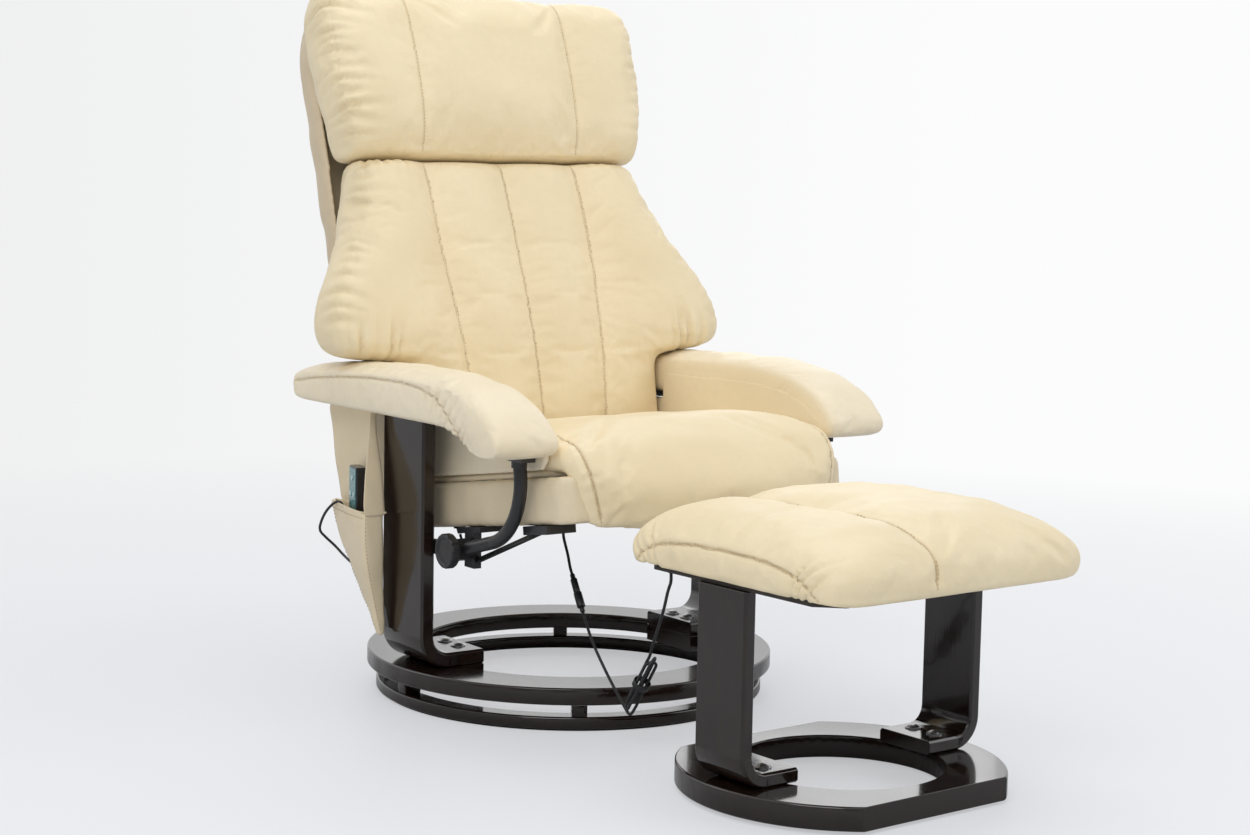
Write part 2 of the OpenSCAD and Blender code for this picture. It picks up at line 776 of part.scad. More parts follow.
module back_frame() {
    color([0.1, 0.1, 0.11]) back_place() difference() {
        union() {
            for (k = [-1, 1]) {
                translate([k * frame_x, frame_t, frame_low])
                    cylinder(h = frame_high - frame_low, r = frame_r);
                translate([k * frame_x, frame_t, pivot_s]) rotate([0, k * 90, 0])
                    cylinder(h = hub_end - frame_x, r = hub_r);
                for (c = cross_at)
                    translate([k * (frame_x - 3 * frame_r) - frame_r, frame_t, c - frame_r])
                        cube([2 * frame_r, shell_floor - frame_t, 2 * frame_r]);
            }
            for (c = cross_at) translate([-frame_x, frame_t, c]) rotate([0, 90, 0])
                cylinder(h = 2 * frame_x, r = cross_r);
        }
        for (k = [-1, 1]) translate([k * hub_from, frame_t, pivot_s]) rotate([0, k * 90, 0])
            cylinder(h = hub_end, r = pivot_r + run_gap);
    }
}

back_strap_at = [60, 150, 240, 400, 470, 540];

module back_webbing() {
    color([0.2, 0.2, 0.2]) back_place() for (c = back_strap_at)
        translate([-frame_x - frame_r, frame_t - frame_r - slide_gap - webbing_t, c - webbing_w / 2])
            cube([2 * frame_x + 2 * frame_r, webbing_t, webbing_w]);
}

module back_motor(s) {
    back_place() translate([0, frame_t - frame_r - slide_gap, s]) rotate([-90, 0, 0]) puck_motor(motor_t);
}

module lumbar_motor() {
    color([0.3, 0.3, 0.32]) back_motor(back_strap_at[1]);
}

module shoulder_motor() {
    color([0.3, 0.3, 0.32]) back_motor(back_strap_at[4]);
}

// Half-widths of the back at its wings, waist and neck
wing_h = wing_w / 2;
waist_h = waist_w / 2;
neck_h = neck_w / 2;
wing_s = 122;

// The rear shell is a tray: outlines at four depths, and a hollow open to the front
shell_front = back_cushion_t + soft_gap;
shell_floor = 124;
shell_back = shell_front + back_shell_t + 2;
shell_rows = [[back_low, 222], [-40, 228], [60, 230], [150, 231], [172, 242], [205, 262], [300, 272],
    [440, 268], [560, 277], [640, 279], [680, 270], [705, 252], [716, 232]];
shell_round = [[0, 0], [0.72, 0], [0.93, 8], [1, 20]];
shell_wall = 9;

function shell_outline(cut) = let (
    side = [for (r = shell_rows) [r[1] - cut, min(max(r[0], back_low + cut), shell_rows[12][0] - cut)]])
    concat([for (p = side) [-p[0], p[1]]], flip(side));

module back_shell() {
    color([0.8, 0.71, 0.54]) back_place() difference() {
        skin([for (q = shell_round) let (t = shell_front + q[0] * (shell_back - shell_front))
            [for (p = shell_outline(q[1])) [p[0], t, p[1]]]]);
        translate([0, shell_floor, 0]) rotate([90, 0, 0])
            linear_extrude(shell_floor - shell_front + over)
                polygon([for (p = shell_outline(shell_wall)) [p[0], p[1]]]);
        for (k = [-1, 1]) translate([k * frame_x, frame_t, pivot_s]) rotate([0, k * 90, 0])
            cylinder(h = hub_end, r = hub_r + slide_gap);
    }
}

// The back cushion: rows up the back, each with its half-width, the depth of
// its front at the middle and at the wings, its slope and its rear at the edge
back_rows = [
    [back_low, waist_h - 19, 45, 50, 0, 80], [-56, waist_h - 8, 30, 36, 0, 84],
    [-30, waist_h, 17, 22, 0, 84], [10, waist_h, 2, 8, 0, 84], [60, waist_h, -5, 0, 0.2, 84],
    [100, waist_h, -8, -6, 0.7, 84], [wing_s - 2, waist_h, -9, -10, 1, 80],
    [wing_s + 2, wing_h - 82, -9, -8, 1, 74], [wing_s + 8, wing_h - 42, -9, -12, 1, 70],
    [wing_s + 18, wing_h - 12, -10, -16, 1, 66], [wing_s + 38, wing_h, -11, -20, 0.9, 62],
    [200, wing_h - 3, -11, -23, 0.7, 62], [240, wing_h - 19, -10, -25, 0.4, 66],
    [290, wing_h - 45, -7, -22, 0.2, 72], [340, wing_h - 67, -5, -16, 0, 78],
    [390, neck_h + 15, -2, -9, 0, 82], [422, neck_h + 6, 1, -3, 0, 84],
    [head_low - soft_gap, neck_h - 1, 9, 8, 0, 84]];
seam_low = 118;
seam_high = 138;
seam_rise_s = 280;
wing_lean = 0.344;
in_cols = [0, 0.1, 0.5, 0.9, 1];
out_cols = [0.06, 0.3, 0.55, 0.75, 0.9, 0.97, 1];
seam_deep = 6;
panel_swell = 4;
edge_pinch = [0, 0, 0, 0.02, 0.12, 0.3, 0.62];
function seam_at(s) = mix(seam_low, seam_high, min(1, max(0, s / seam_rise_s)));
function smooth(k) = k * k * (3 - 2 * k);

function back_point(r, side, out, k, front) = let (
    a = seam_at(r[0]),
    x = out ? a + (r[1] - a) * out_cols[k] : a * in_cols[k],
    groove = out ? 0 : (k == 0 || k == 4 ? seam_deep : (k == 2 ? -panel_swell : 0)),
    tf = out ? mix(r[2], r[3], smooth(out_cols[k])) : r[2] + groove,
    tr = out ? mix(back_cushion_t, r[5], smooth(out_cols[k])) : back_cushion_t,
    pinch = (out ? edge_pinch[k] : 0) / 2,
    t = front ? mix(tf, tr, pinch) : mix(tr, tf, pinch))
    [side * x, t, r[0] + r[4] * wing_lean * max(0, t)];

function back_run(r, front) = concat(
    [for (k = [6:-1:0]) back_point(r, 1, true, k, front)],
    [for (k = [4:-1:0]) back_point(r, 1, false, k, front)],
    [for (k = [1:4]) back_point(r, -1, false, k, front)],
    [for (k = [0:6]) back_point(r, -1, true, k, front)]);

module back_cushion() {
    color([0.96, 0.88, 0.67]) back_place()
        skin([for (r = back_rows) concat(back_run(r, false), flip(back_run(r, true)))]);
}

// The headrest roll: depth, height over its lower edge and half-width as a
// share of the widest, down the front and then up the rear
head_front = [[76, 270, 0.82], [50, 278, 0.86], [15, 276, 0.9], [-8, 266, 0.93], [-21, 249, 0.965],
    [-28, 214, 0.99], [-30, 174, 1], [-31, 134, 0.995], [-30, 94, 0.98], [-26, 54, 0.96],
    [-18, 26, 0.945], [-4, 6, 0.93], [14, 0, 0.925]];
head_rear = [[79, 262, 0.8], [82, 252, 0.83], [84, 239, 0.88], [84, 224, 0.93], [84, 204, 0.96],
    [84, 174, 0.97], [84, 134, 0.965], [84, 94, 0.95], [84, 54, 0.935], [84, 24, 0.92],
    [80, 6, 0.91], [60, 3, 0.91], [38, 1, 0.915]];
head_seam = 143;
head_in = [0, 0.5, 0.945, 1, 1.055];
head_out = [0.35, 0.65, 0.86, 0.96, 1];
head_pinch = [0, 0, 0.06, 0.26, 0.6];
head_groove = 2.5;
head_drawn = 276;
head_share = head_len / head_drawn;

function head_x(side, k, share) = let (w = share * head_w / 2)
    side * (k < 5 ? head_seam * head_in[k] : mix(head_seam * head_in[4], w, head_out[k - 5]));

function head_ring(side, k) = let (
    pinch = k < 5 ? 0 : head_pinch[k - 5],
    g = k == 3 ? head_groove : 0,
    f = [for (p = head_front) [head_x(side, k, p[2]), p[0] * head_share + (p[0] < 0 ? g : 0),
        head_low + p[1] * head_share - (p[0] >= 0 && p[1] > head_drawn / 2 ? g : 0)]],
    r = [for (p = head_rear) [head_x(side, k, p[2]), p[0] * head_share, head_low + p[1] * head_share]])
    pinch_ring(f, r, pinch);

module headrest() {
    color([0.96, 0.88, 0.68]) back_place()
        skin(concat([for (k = [9:-1:1]) head_ring(-1, k)], [for (k = [0:9]) head_ring(1, k)]));
}

// The footstool, in its own frame on the floor
module stool_place() {
    translate([stool_x, stool_y, 0]) rotate([0, 0, stool_turn]) children();
}

stool_bolt_x = 152;
glide_disc_r = 15;
glide_at = 124;

module stool_base() {
    color([0.07, 0.05, 0.05]) stool_place() difference() {
        intersection() {
            translate([0, 0, stool_glide_t]) flat_ring(stool_r, stool_r - stool_hole_r, stool_base_t);
            translate([-stool_r, -stool_d / 2, 0]) cube([2 * stool_r, stool_d, stool_top]);
        }
        bolt_places(stool_bolt_x, stool_bolt_pitch) {
            bolt_hole(stool_glide_t, stool_base_t);
            translate([0, 0, stool_glide_t - over]) cylinder(h = nut_t + chamfer + over, r = nut_pocket_r);
        }
    }
}

module stool_glides() {
    color("black") stool_place() for (i = [-1, 1]) for (j = [-1, 1])
        translate([i * glide_at, j * glide_at, 0]) cylinder(h = stool_glide_t, r = glide_disc_r);
}

module stool_leg() {
    difference() {
        bent_leg(stool_leg_x, stool_leg_z, stool_leg_w, stool_leg_t, stool_leg_h, stool_foot, stool_bend_r);
        bolt_places(stool_bolt_x, stool_bolt_pitch) bolt_hole(stool_leg_z, stool_leg_t);
    }
}

module stool_left_leg() {
    color([0.09, 0.06, 0.05]) stool_place() mirror([1, 0, 0]) stool_leg();
}

module stool_right_leg() {
    color([0.09, 0.06, 0.05]) stool_place() stool_leg();
}

module stool_leg_bolts() {
    color("gray") stool_place() bolt_places(stool_bolt_x, stool_bolt_pitch)
        domed_bolt(stool_leg_z + stool_leg_t, stool_leg_t + stool_base_t - chamfer);
}

deck_x = 212;
deck_y = 178;
deck_corner = 30;

module stool_deck() {
    color([0.12, 0.1, 0.09]) stool_place() translate([pad_shift_x, pad_shift_y, stool_top])
        linear_extrude(deck_t) difference() {
            square([2 * deck_x, 2 * deck_y], center = true);
            for (i = [-1, 1]) for (j = [-1, 1]) translate([i * deck_x, j * deck_y]) rotate([0, 0, 45])
                square(deck_corner * 1.4, center = true);
        }
}

module stool_motor() {
    color([0.3, 0.3, 0.32]) stool_place() translate([0, 0, stool_top - motor_t]) puck_motor(motor_t);
}

stool_gland_at = [-162, 157];

module stool_cord_gland() {
    color("black") stool_place()
        translate([stool_gland_at[0], stool_gland_at[1], stool_top - gland_h]) {
            cylinder(h = gland_h, r1 = 0.6 * gland_r, r2 = gland_r);
            translate([0, 0, gland_h - cover_t]) cylinder(h = cover_t, r = 1.5 * gland_r);
        }
}

// The pad: shares of its half-width at which its rings stand, with the rim's
// corner drawn in, and its section from the rear over the crown to the front
pad_cols = [1, 0.988, 0.955, 0.935, 0.86, 0.76, 0.62, 0.45, 0.29, 0.27, 0.25, 0.1];
pad_corner = 58;
pad_rim = 2;
pad_top_share = [[0.955, 0.02], [1, 0.22], [0.995, 0.46], [0.95, 0.64], [0.82, 0.82], [0.6, 0.94],
    [0.3, 0.985], [0, 0.96], [-0.3, 0.985], [-0.6, 0.94], [-0.82, 0.82], [-0.95, 0.64], [-0.995, 0.46],
    [-1, 0.22], [-0.955, 0.02]];
pad_seam = -62;
pad_groove = 2;

function pad_depth(u) = let (x = abs(u) * pad_w / 2, r = pad_corner, c = pad_w / 2 - r)
    pad_d / 2 - r + (x > c ? sqrt(max(0, r * r - pow(x - c, 2))) : r);

function pad_ring(x) = let (
    u = x / (pad_w / 2),
    d = max(pad_depth(u), pad_d / 2 - pad_corner * 0.9),
    high = lookup(1 - abs(u), [[0, 0.42], [0.015, 0.55], [0.06, 0.7], [0.14, 0.8], [0.24, 0.88],
        [0.38, 0.94], [0.55, 0.98], [1, 1]]),
    g = abs(x - pad_seam) < 1 ? pad_groove : 0,
    deep = abs(u) < 0.94,
    dip = abs(u) > 0.99 ? 0.16 : (abs(u) > 0.97 ? 0.06 : 0),
    low_z = stool_top + pad_rim,
    n = len(pad_top_share),
    top = [for (q = pad_top_share) [x, q[0] * d, low_z + pad_h * max(q[1] * high, dip + 0.01) - (q[1] > 0.5 ? g : 0)]],
    hollow_y = min(deck_y + 2 * soft_gap, d * 0.955 - 4),
    low = [for (i = [0:n - 1]) let (
        side = i < 7 ? 1 : (i > 7 ? -1 : 0),
        j = i < 7 ? i : n - 1 - i)
        [x, j == 0 ? side * (d * 0.955 - 0.5) : (j == 1 ? side * (hollow_y + 0.5) : side * hollow_y * (7 - j) / 5),
            low_z + (j > 1 && deep ? deck_t + soft_gap - pad_rim : 0) + pad_h * dip]])
    concat(top, flip(low));

module stool_pad() {
    color([0.94, 0.86, 0.68]) stool_place() translate([pad_shift_x, pad_shift_y, 0])
        skin([for (x = concat([for (u = pad_cols) -u * pad_w / 2],
            [for (i = [len(pad_cols) - 1:-1:0]) pad_cols[i] * pad_w / 2])) pad_ring(x)]);
}

// The handset stands in the pouch's pocket
face_t = 1;
face_edge = 2.5;
key_place_share = [[0, 0.36], [-0.22, 0.16], [0.22, 0.16], [-0.22, -0.06], [0.22, -0.06]];
case_corner = 5;
sleeve_h = 12;
sleeve_r = 3.6;

module remote_place() {
    translate([remote_x, remote_y, remote_z]) rotate([0, 0, -remote_turn]) children();
}

module key_spot(i) {
    remote_place()
        translate([-remote_t / 2, key_place_share[i][0] * remote_w,
            remote_len * (0.5 + key_place_share[i][1])]) rotate([0, -90, 0]) children();
}

module remote_case() {
    color([0.05, 0.05, 0.06]) difference() {
        remote_place() {
            linear_extrude(remote_len) difference() {
                translate([-remote_t / 2, -remote_w / 2]) square([remote_t, remote_w]);
                for (i = [-1, 1]) for (j = [-1, 1])
                    translate([i * remote_t / 2, j * remote_w / 2]) rotate([0, 0, 45])
                        square(case_corner * (i < 0 ? 0.5 : 1), center = true);
            }
            translate([0, 0, -sleeve_h]) cylinder(h = sleeve_h + over, r = sleeve_r);
        }
        for (i = [0:4]) key_spot(i)
            translate([0, 0, -key_travel - key_rise]) cylinder(h = 4 * key_travel, r = key_r + slide_gap);
    }
}

module remote_face() {
    color([0.2, 0.6, 0.62]) difference() {
        remote_place() translate([-remote_t / 2 - face_t, face_edge - remote_w / 2, face_edge])
            cube([face_t, remote_w - 2 * face_edge, remote_len - 2 * face_edge]);
        for (i = [0:4]) key_spot(i)
            translate([0, 0, -over]) cylinder(h = 4 * key_travel, r = key_r + slide_gap);
    }
}

module remote_key(i) {
    color([0.75, 0.8, 0.8]) key_spot(i)
        translate([0, 0, run_gap - key_rise]) cylinder(h = 2 * key_rise + face_t, r = key_r);
}

module remote_key_1() { remote_key(0); }
module remote_key_2() { remote_key(1); }
module remote_key_3() { remote_key(2); }
module remote_key_4() { remote_key(3); }
module remote_key_5() { remote_key(4); }

// A cord through hand-picked points: a smooth curve with rings set square to it
function curve_at(p, i, u) = let (
    n = len(p) - 1,
    a = i > 0 ? p[i - 1] : 2 * p[0] - p[1],
    b = p[i],
    c = p[i + 1],
    d = i < n - 1 ? p[i + 2] : 2 * p[n] - p[n - 1])
    0.5 * (2 * b + (c - a) * u + (2 * a - 5 * b + 4 * c - d) * u * u + (3 * b - a - 3 * c + d) * u * u * u);
function unit(v) = v / norm(v);
function curve(p, steps) = concat([for (i = [0:len(p) - 2], k = [0:steps[i] - 1]) curve_at(p, i, k / steps[i])],
    [p[len(p) - 1]]);
function paces(p, pace) = [for (i = [0:len(p) - 2]) max(1, round(norm(p[i + 1] - p[i]) / pace))];
function headings(q) = let (n = len(q) - 1)
    [for (i = [0:n]) unit(i == 0 ? q[1] - q[0] : (i == n ? q[n] - q[n - 1] : q[i + 1] - q[i - 1]))];
function carried(h, i, u) = i == len(h) ? [] :
    let (v = unit(u - (u * h[i]) * h[i])) concat([v], carried(h, i + 1, v));
function measured(q) = [for (i = [0:len(q) - 2]) norm(q[i + 1] - q[i])] * [for (i = [0:len(q) - 2]) 1];

module cord(q, r, sides, across) {
    h = headings(q);
    u = carried(h, 0, across);
    m = len(q);
    pts = [for (i = [0:m - 1]) let (w = cross(h[i], u[i])) for (k = [0:sides - 1])
        q[i] + r * cos(k * 360 / sides) * u[i] + r * sin(k * 360 / sides) * w];
    polyhedron(pts, concat(
        [for (i = [0:m - 2], k = [0:sides - 1]) let (a = i * sides + k, b = i * sides + (k + 1) % sides)
            each [[a, a + sides, b], [b, a + sides, b + sides]]],
        [[for (k = [0:sides - 1]) k]],
        [[for (k = [sides - 1:-1:0]) (m - 1) * sides + k]]), convexity = 8);
    echo(cord_length = measured(q));
}

// The cords near the seat keep their height under the tops of the legs
cord_top = 430.5;
function lifted(p) = [for (q = p) q + [0, 0, leg_top - cord_top]];
hand_r = hand_lead_d / 2;
lead_r = lead_d / 2;
joint_at = [-301.5, 104, 192];
upper_points = [[remote_x, remote_y, cord_top - remote_under_top - sleeve_h], [remote_x, remote_y + 1, 211],
    [-320, 98, 205.5], [-319, 106, 204.5], [-318, 113, 208], [-317, 117.5, 217], [-318, 119, 232],
    [-320, 124, 256], [-322, 129, 276], [-325, 132, 287.5], [-329.5, 135, 292], [-336, 140, 289],
    [-343, 150, 276], [-344, 164, 258], [-338, 178, 243], [-323, 188, 230], [-308, 187, 216],
    [-301.5, 170, 203], [-301.5, 138, 194], joint_at];
lower_points = [joint_at, [-301.5, 84, 194], [-298, 70, 202], [-286, 66, 216], [-266, 60, 230],
    [-242, 44, 238], [-221, 8, 237]];
hand_end = [hand_gland_at[0], seat_y + hand_gland_at[1] * cos(seat_tilt) - gland_h * sin(seat_tilt),
    seat_z - hand_gland_at[1] * sin(seat_tilt) - gland_h * cos(seat_tilt)];
seat_end = [gland_at[0], seat_y + gland_at[1] * cos(seat_tilt) - gland_h * sin(seat_tilt),
    seat_z - gland_at[1] * sin(seat_tilt) - gland_h * cos(seat_tilt)];
seat_down = [0, -sin(seat_tilt), -cos(seat_tilt)];
end_run = 15;
end_gap = 0.9;

module remote_lead_upper() {
    color([0.05, 0.05, 0.05]) cord(curve(lifted(upper_points), paces(upper_points, 9)), hand_r, 8, [1, 0, 0]);
}

module remote_lead_lower() {
    p = concat(lifted(lower_points), [hand_end + end_run * seat_down, hand_end + end_gap * seat_down]);
    color([0.05, 0.05, 0.05]) cord(curve(p, paces(p, 9)), hand_r, 8, [1, 0, 0]);
}

plug_top = lifted([[-115, -174, 211]])[0];
plug_low = lifted([[-120, -210, 163]])[0];
plug_r = 5;

module seat_lead() {
    p = [seat_end + end_gap * seat_down, seat_end + end_run * seat_down, lifted([[-111, -156, 237]])[0],
        plug_top - 12 * unit(plug_low - plug_top), plug_top];
    color([0.05, 0.05, 0.05]) cord(curve(p, paces(p, 9)), lead_r, 8, [1, 0, 0]);
}

module lead_connector() {
    mid = (plug_top + plug_low) / 2;
    nose = 8 * unit(plug_low - plug_top);
    color([0.04, 0.04, 0.04]) {
        bar(plug_top, plug_top + nose, 0.7 * plug_r);
        bar(plug_top + nose, mid, plug_r);
        bar(mid, plug_low - nose, plug_r + 1);
        bar(plug_low - nose, plug_low, 0.7 * plug_r);
    }
}

// The footstool's lead: its spare length is folded into five runs and tied.
// The runs stand on a circle, each fold crosses it, and the folds stand clear
// of each other along the hank.
hank_low = [-150, -378, 70];
hank_axis = unit([3, -54, 83]);
hank_side = unit(cross(hank_axis, [-1, -0.4, 0]));
hank_face = cross(hank_axis, hank_side);
hank_len = 66;
hank_r = 8.5;
hank_turns = [0, 180, 36, 216, 72];
fold_step = 6;
fold_rings = 7;
tie_h = 9;
tie_t = 1.5;

function hank_point(k, along) = hank_low + hank_r * (cos(hank_turns[k]) * hank_side
    + sin(hank_turns[k]) * hank_face) + along * hank_axis;
// Each fold stands a step further out than the one before it at that end
function fold_at(k) = k % 2 == 0 ? hank_len + k * fold_step / 2 : -(k - 1) * fold_step / 2;
function hank_run(k) = let (
    up = k % 2 == 0,
    from = k == 0 ? 0 : fold_at(k - 1),
    to = k == 4 ? hank_len : fold_at(k))
    [for (j = [0:6]) hank_point(k, mix(from, to, j / 6))];
function hank_fold(k) = let (
    a = hank_point(k, fold_at(k)),
    b = hank_point(k + 1, fold_at(k)),
    c = (a + b) / 2,
    r = norm(b - a) / 2,
    out = (k % 2 == 0 ? 1 : -1) * hank_axis)
    [for (j = [1:fold_rings]) c + (a - c) * cos(j * 180 / (fold_rings + 1))
        + r * out * sin(j * 180 / (fold_rings + 1))];

module lead_tie() {
    translate(hank_low + (hank_len / 2 - tie_h / 2) * hank_axis)
        rotate([0, acos(hank_axis[2]), atan2(hank_axis[1], hank_axis[0])]) color([0.04, 0.04, 0.04])
            difference() {
                cylinder(h = tie_h, r = hank_r + lead_r + soft_gap + tie_t);
                translate([0, 0, -over]) cylinder(h = tie_h + 2 * over, r = hank_r + lead_r + soft_gap);
            }
}

stool_end = let (c = cos(stool_turn), n = sin(stool_turn))
    [stool_x + c * stool_gland_at[0] - n * stool_gland_at[1], stool_y + n * stool_gland_at[0]
        + c * stool_gland_at[1], stool_top - gland_h];

module stool_lead() {
    start = hank_point(0, 0);
    first = [plug_low, plug_low + 12 * unit(plug_low - plug_top), [-126, -246, 124], [-133, -290, 94],
        [-139, -330, 74], start - 22 * hank_axis + [1, 22, 10], start - 7 * hank_axis + [0, 3, 1], start];
    end = hank_point(4, hank_len);
    last = [end, end + 14 * hank_axis, end + 30 * hank_axis + [-2, 0, 4], [-176, -478, 214],
        [stool_end[0] + 2, stool_end[1] + 9, 248], stool_end - [0, 0, 12], stool_end];
    a = curve(first, paces(first, 10));
    b = curve(last, paces(last, 10));
    q = concat(a, [for (j = [1:6]) hank_run(0)[j]], hank_fold(0), hank_run(1), hank_fold(1), hank_run(2),
        hank_fold(2), hank_run(3), hank_fold(3), hank_run(4), [for (j = [1:len(b) - 1]) b[j]]);
    color([0.05, 0.05, 0.05]) cord(q, lead_r, 8, [1, 0, 0]);
    n = len(q) - 1;
    echo(least_self_gap = min([for (i = [0:n], j = [i:n]) if (j - i > 7) norm(q[i] - q[j])]) - lead_d);
}

floor_foot_ring();
floor_ring();
ring_spacer_blocks();
swivel_shoes();
stool_base();
stool_glides();
stool_left_leg();
stool_right_leg();
stool_leg_bolts();
stool_deck();
stool_pad();
stool_motor();
stool_cord_gland();
swivel_ring();
left_leg();
right_leg();
leg_bolts();
left_arm_plate();
right_arm_plate();
left_arm();
right_arm();
left_glide_tube();
right_glide_tube();
left_back_bracket();
right_back_bracket();
side_pouch();
seat_box();
seat_webbing();
seat_cushion();
seat_dust_cover();
massage_controller();
seat_motor();
seat_cord_gland();
left_glide_bracket();
right_glide_bracket();
clamp_knob();
back_frame();
back_webbing();
lumbar_motor();
shoulder_motor();
back_shell();
back_cushion();
headrest();
remote_case();
remote_face();
remote_key_1();
remote_key_2();
remote_key_3();
remote_key_4();
remote_key_5();
remote_lead_upper();
remote_lead_lower();
seat_lead();
lead_connector();
stool_lead();
lead_tie();
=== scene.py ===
"""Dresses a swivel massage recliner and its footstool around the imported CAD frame.

The chair's swivel axis is Z, the floor is Z = 0 and the chair faces -Y. Tables are in
millimetres in each sub-assembly's own frame; meshes are made in metres in the row frame.
"""
import logging
import math
from dataclasses import dataclass, field
from enum import Enum

import bmesh
import bpy
import numpy as np
from mathutils import Matrix, Vector
from mathutils.bvhtree import BVHTree
from mathutils.kdtree import KDTree


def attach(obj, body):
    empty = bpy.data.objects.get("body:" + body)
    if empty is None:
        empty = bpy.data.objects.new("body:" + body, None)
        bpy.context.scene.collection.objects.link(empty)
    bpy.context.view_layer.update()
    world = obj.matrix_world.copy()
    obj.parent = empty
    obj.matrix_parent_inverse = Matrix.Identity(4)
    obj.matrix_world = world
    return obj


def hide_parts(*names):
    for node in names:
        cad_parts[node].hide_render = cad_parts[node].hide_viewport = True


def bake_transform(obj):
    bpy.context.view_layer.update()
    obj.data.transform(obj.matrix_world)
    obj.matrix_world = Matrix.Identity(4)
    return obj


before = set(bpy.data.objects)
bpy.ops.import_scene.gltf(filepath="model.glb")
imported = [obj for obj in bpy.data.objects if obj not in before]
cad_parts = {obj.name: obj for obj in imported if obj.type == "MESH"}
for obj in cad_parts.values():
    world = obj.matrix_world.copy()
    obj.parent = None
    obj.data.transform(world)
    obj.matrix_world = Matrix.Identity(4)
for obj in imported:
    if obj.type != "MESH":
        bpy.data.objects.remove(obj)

LOG = logging.getLogger("recliner")
MM = 0.001
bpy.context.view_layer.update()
Pair = tuple[float, float]
Triple = tuple[float, float, float]
Ring = list[Triple]
Piece = bpy.types.Object
Socket = bpy.types.NodeSocket


class Body(str, Enum):
    """The CAD bodies that pieces ride on."""

    FLOOR = "floor_base"
    FRAME = "swivel_frame"
    BACK = "backrest"
    SEAT = "seat"
    REMOTE = "remote"


def mix(a: float, b: float, k: float) -> float:
    """Value between a and b at share k."""
    return a + (b - a) * k


def ease(k: float) -> float:
    """Smooth step from 0 to 1."""
    k = min(1.0, max(0.0, k))
    return k * k * (3 - 2 * k)


def table_value(table: list[Pair], x: float) -> float:
    """Looks x up in a table of pairs, straight between them."""
    return float(np.interp(x, [p[0] for p in table], [p[1] for p in table]))


def placed(shift: Triple, angle: float = 0.0, axis: str = "X") -> Matrix:
    """Matrix of a local frame.

    Args:
        shift: the frame's origin, in millimetres.
        angle: turn about the axis, in degrees.
        axis: letter of the axis.

    Returns:
        The 4x4 matrix in metres.
    """
    return Matrix.Translation(Vector(shift) * MM) @ Matrix.Rotation(math.radians(angle), 4, axis)


SEAT_AT, SEAT_TILT = (0, 46, 258), 8.5
BACK_AT, BACK_TILT = (0, 68, 390), 19
STOOL_AT, STOOL_TURN = (-27, -670, 0), 2.4
ARM_AT = (292.5, 262, 435.8)
SEAT_PLACE = placed(SEAT_AT, -SEAT_TILT)
BACK_PLACE = placed(BACK_AT, -BACK_TILT)
PAD_PLACE = placed(STOOL_AT, STOOL_TURN, "Z") @ placed((8, -8, 0))
ARM_PLACE = placed(ARM_AT)
MIRROR = Matrix.Scale(-1, 4, (1, 0, 0))


# Materials


Tint = Triple | Socket


class Tree:
    """A node tree, with short ways to add and join nodes."""

    def __init__(self, tree: bpy.types.NodeTree) -> None:
        """Takes up a tree that is there already."""
        self.tree = tree

    def node(self, kind: str, **values: object) -> bpy.types.Node:
        """Adds a node and sets its properties or sockets.

        Args:
            kind: node type without the ShaderNode prefix.
            **values: a property or a socket's constant, by its name.

        Returns:
            The node.
        """
        made = self.tree.nodes.new("ShaderNode" + kind)
        for key, value in values.items():
            if hasattr(made, key):
                setattr(made, key, value)
            else:
                made.inputs[key.replace("_", " ")].default_value = value
        return made

    def join(self, out: Socket, into: Socket) -> None:
        """Links an output to an input."""
        self.tree.links.new(out, into)

    def calc(self, operation: str, *terms: Tint, kind: str = "Math") -> Socket:
        """Value of a Math or VectorMath node, each term a socket or a constant."""
        made = self.node(kind, operation=operation)
        for term, socket in zip(terms, made.inputs):
            if isinstance(term, tuple):
                socket.default_value = term
            else:
                self.join(term, socket)
        return made.outputs["Value"]

    def ramp(self, value: Socket, low: float, high: float, to_low: float = 0, to_high: float = 1) -> Socket:
        """Maps a value's range onto another range."""
        made = self.node("MapRange", From_Min=low, From_Max=high, To_Min=to_low, To_Max=to_high)
        self.join(value, made.inputs["Value"])
        return made.outputs["Result"]


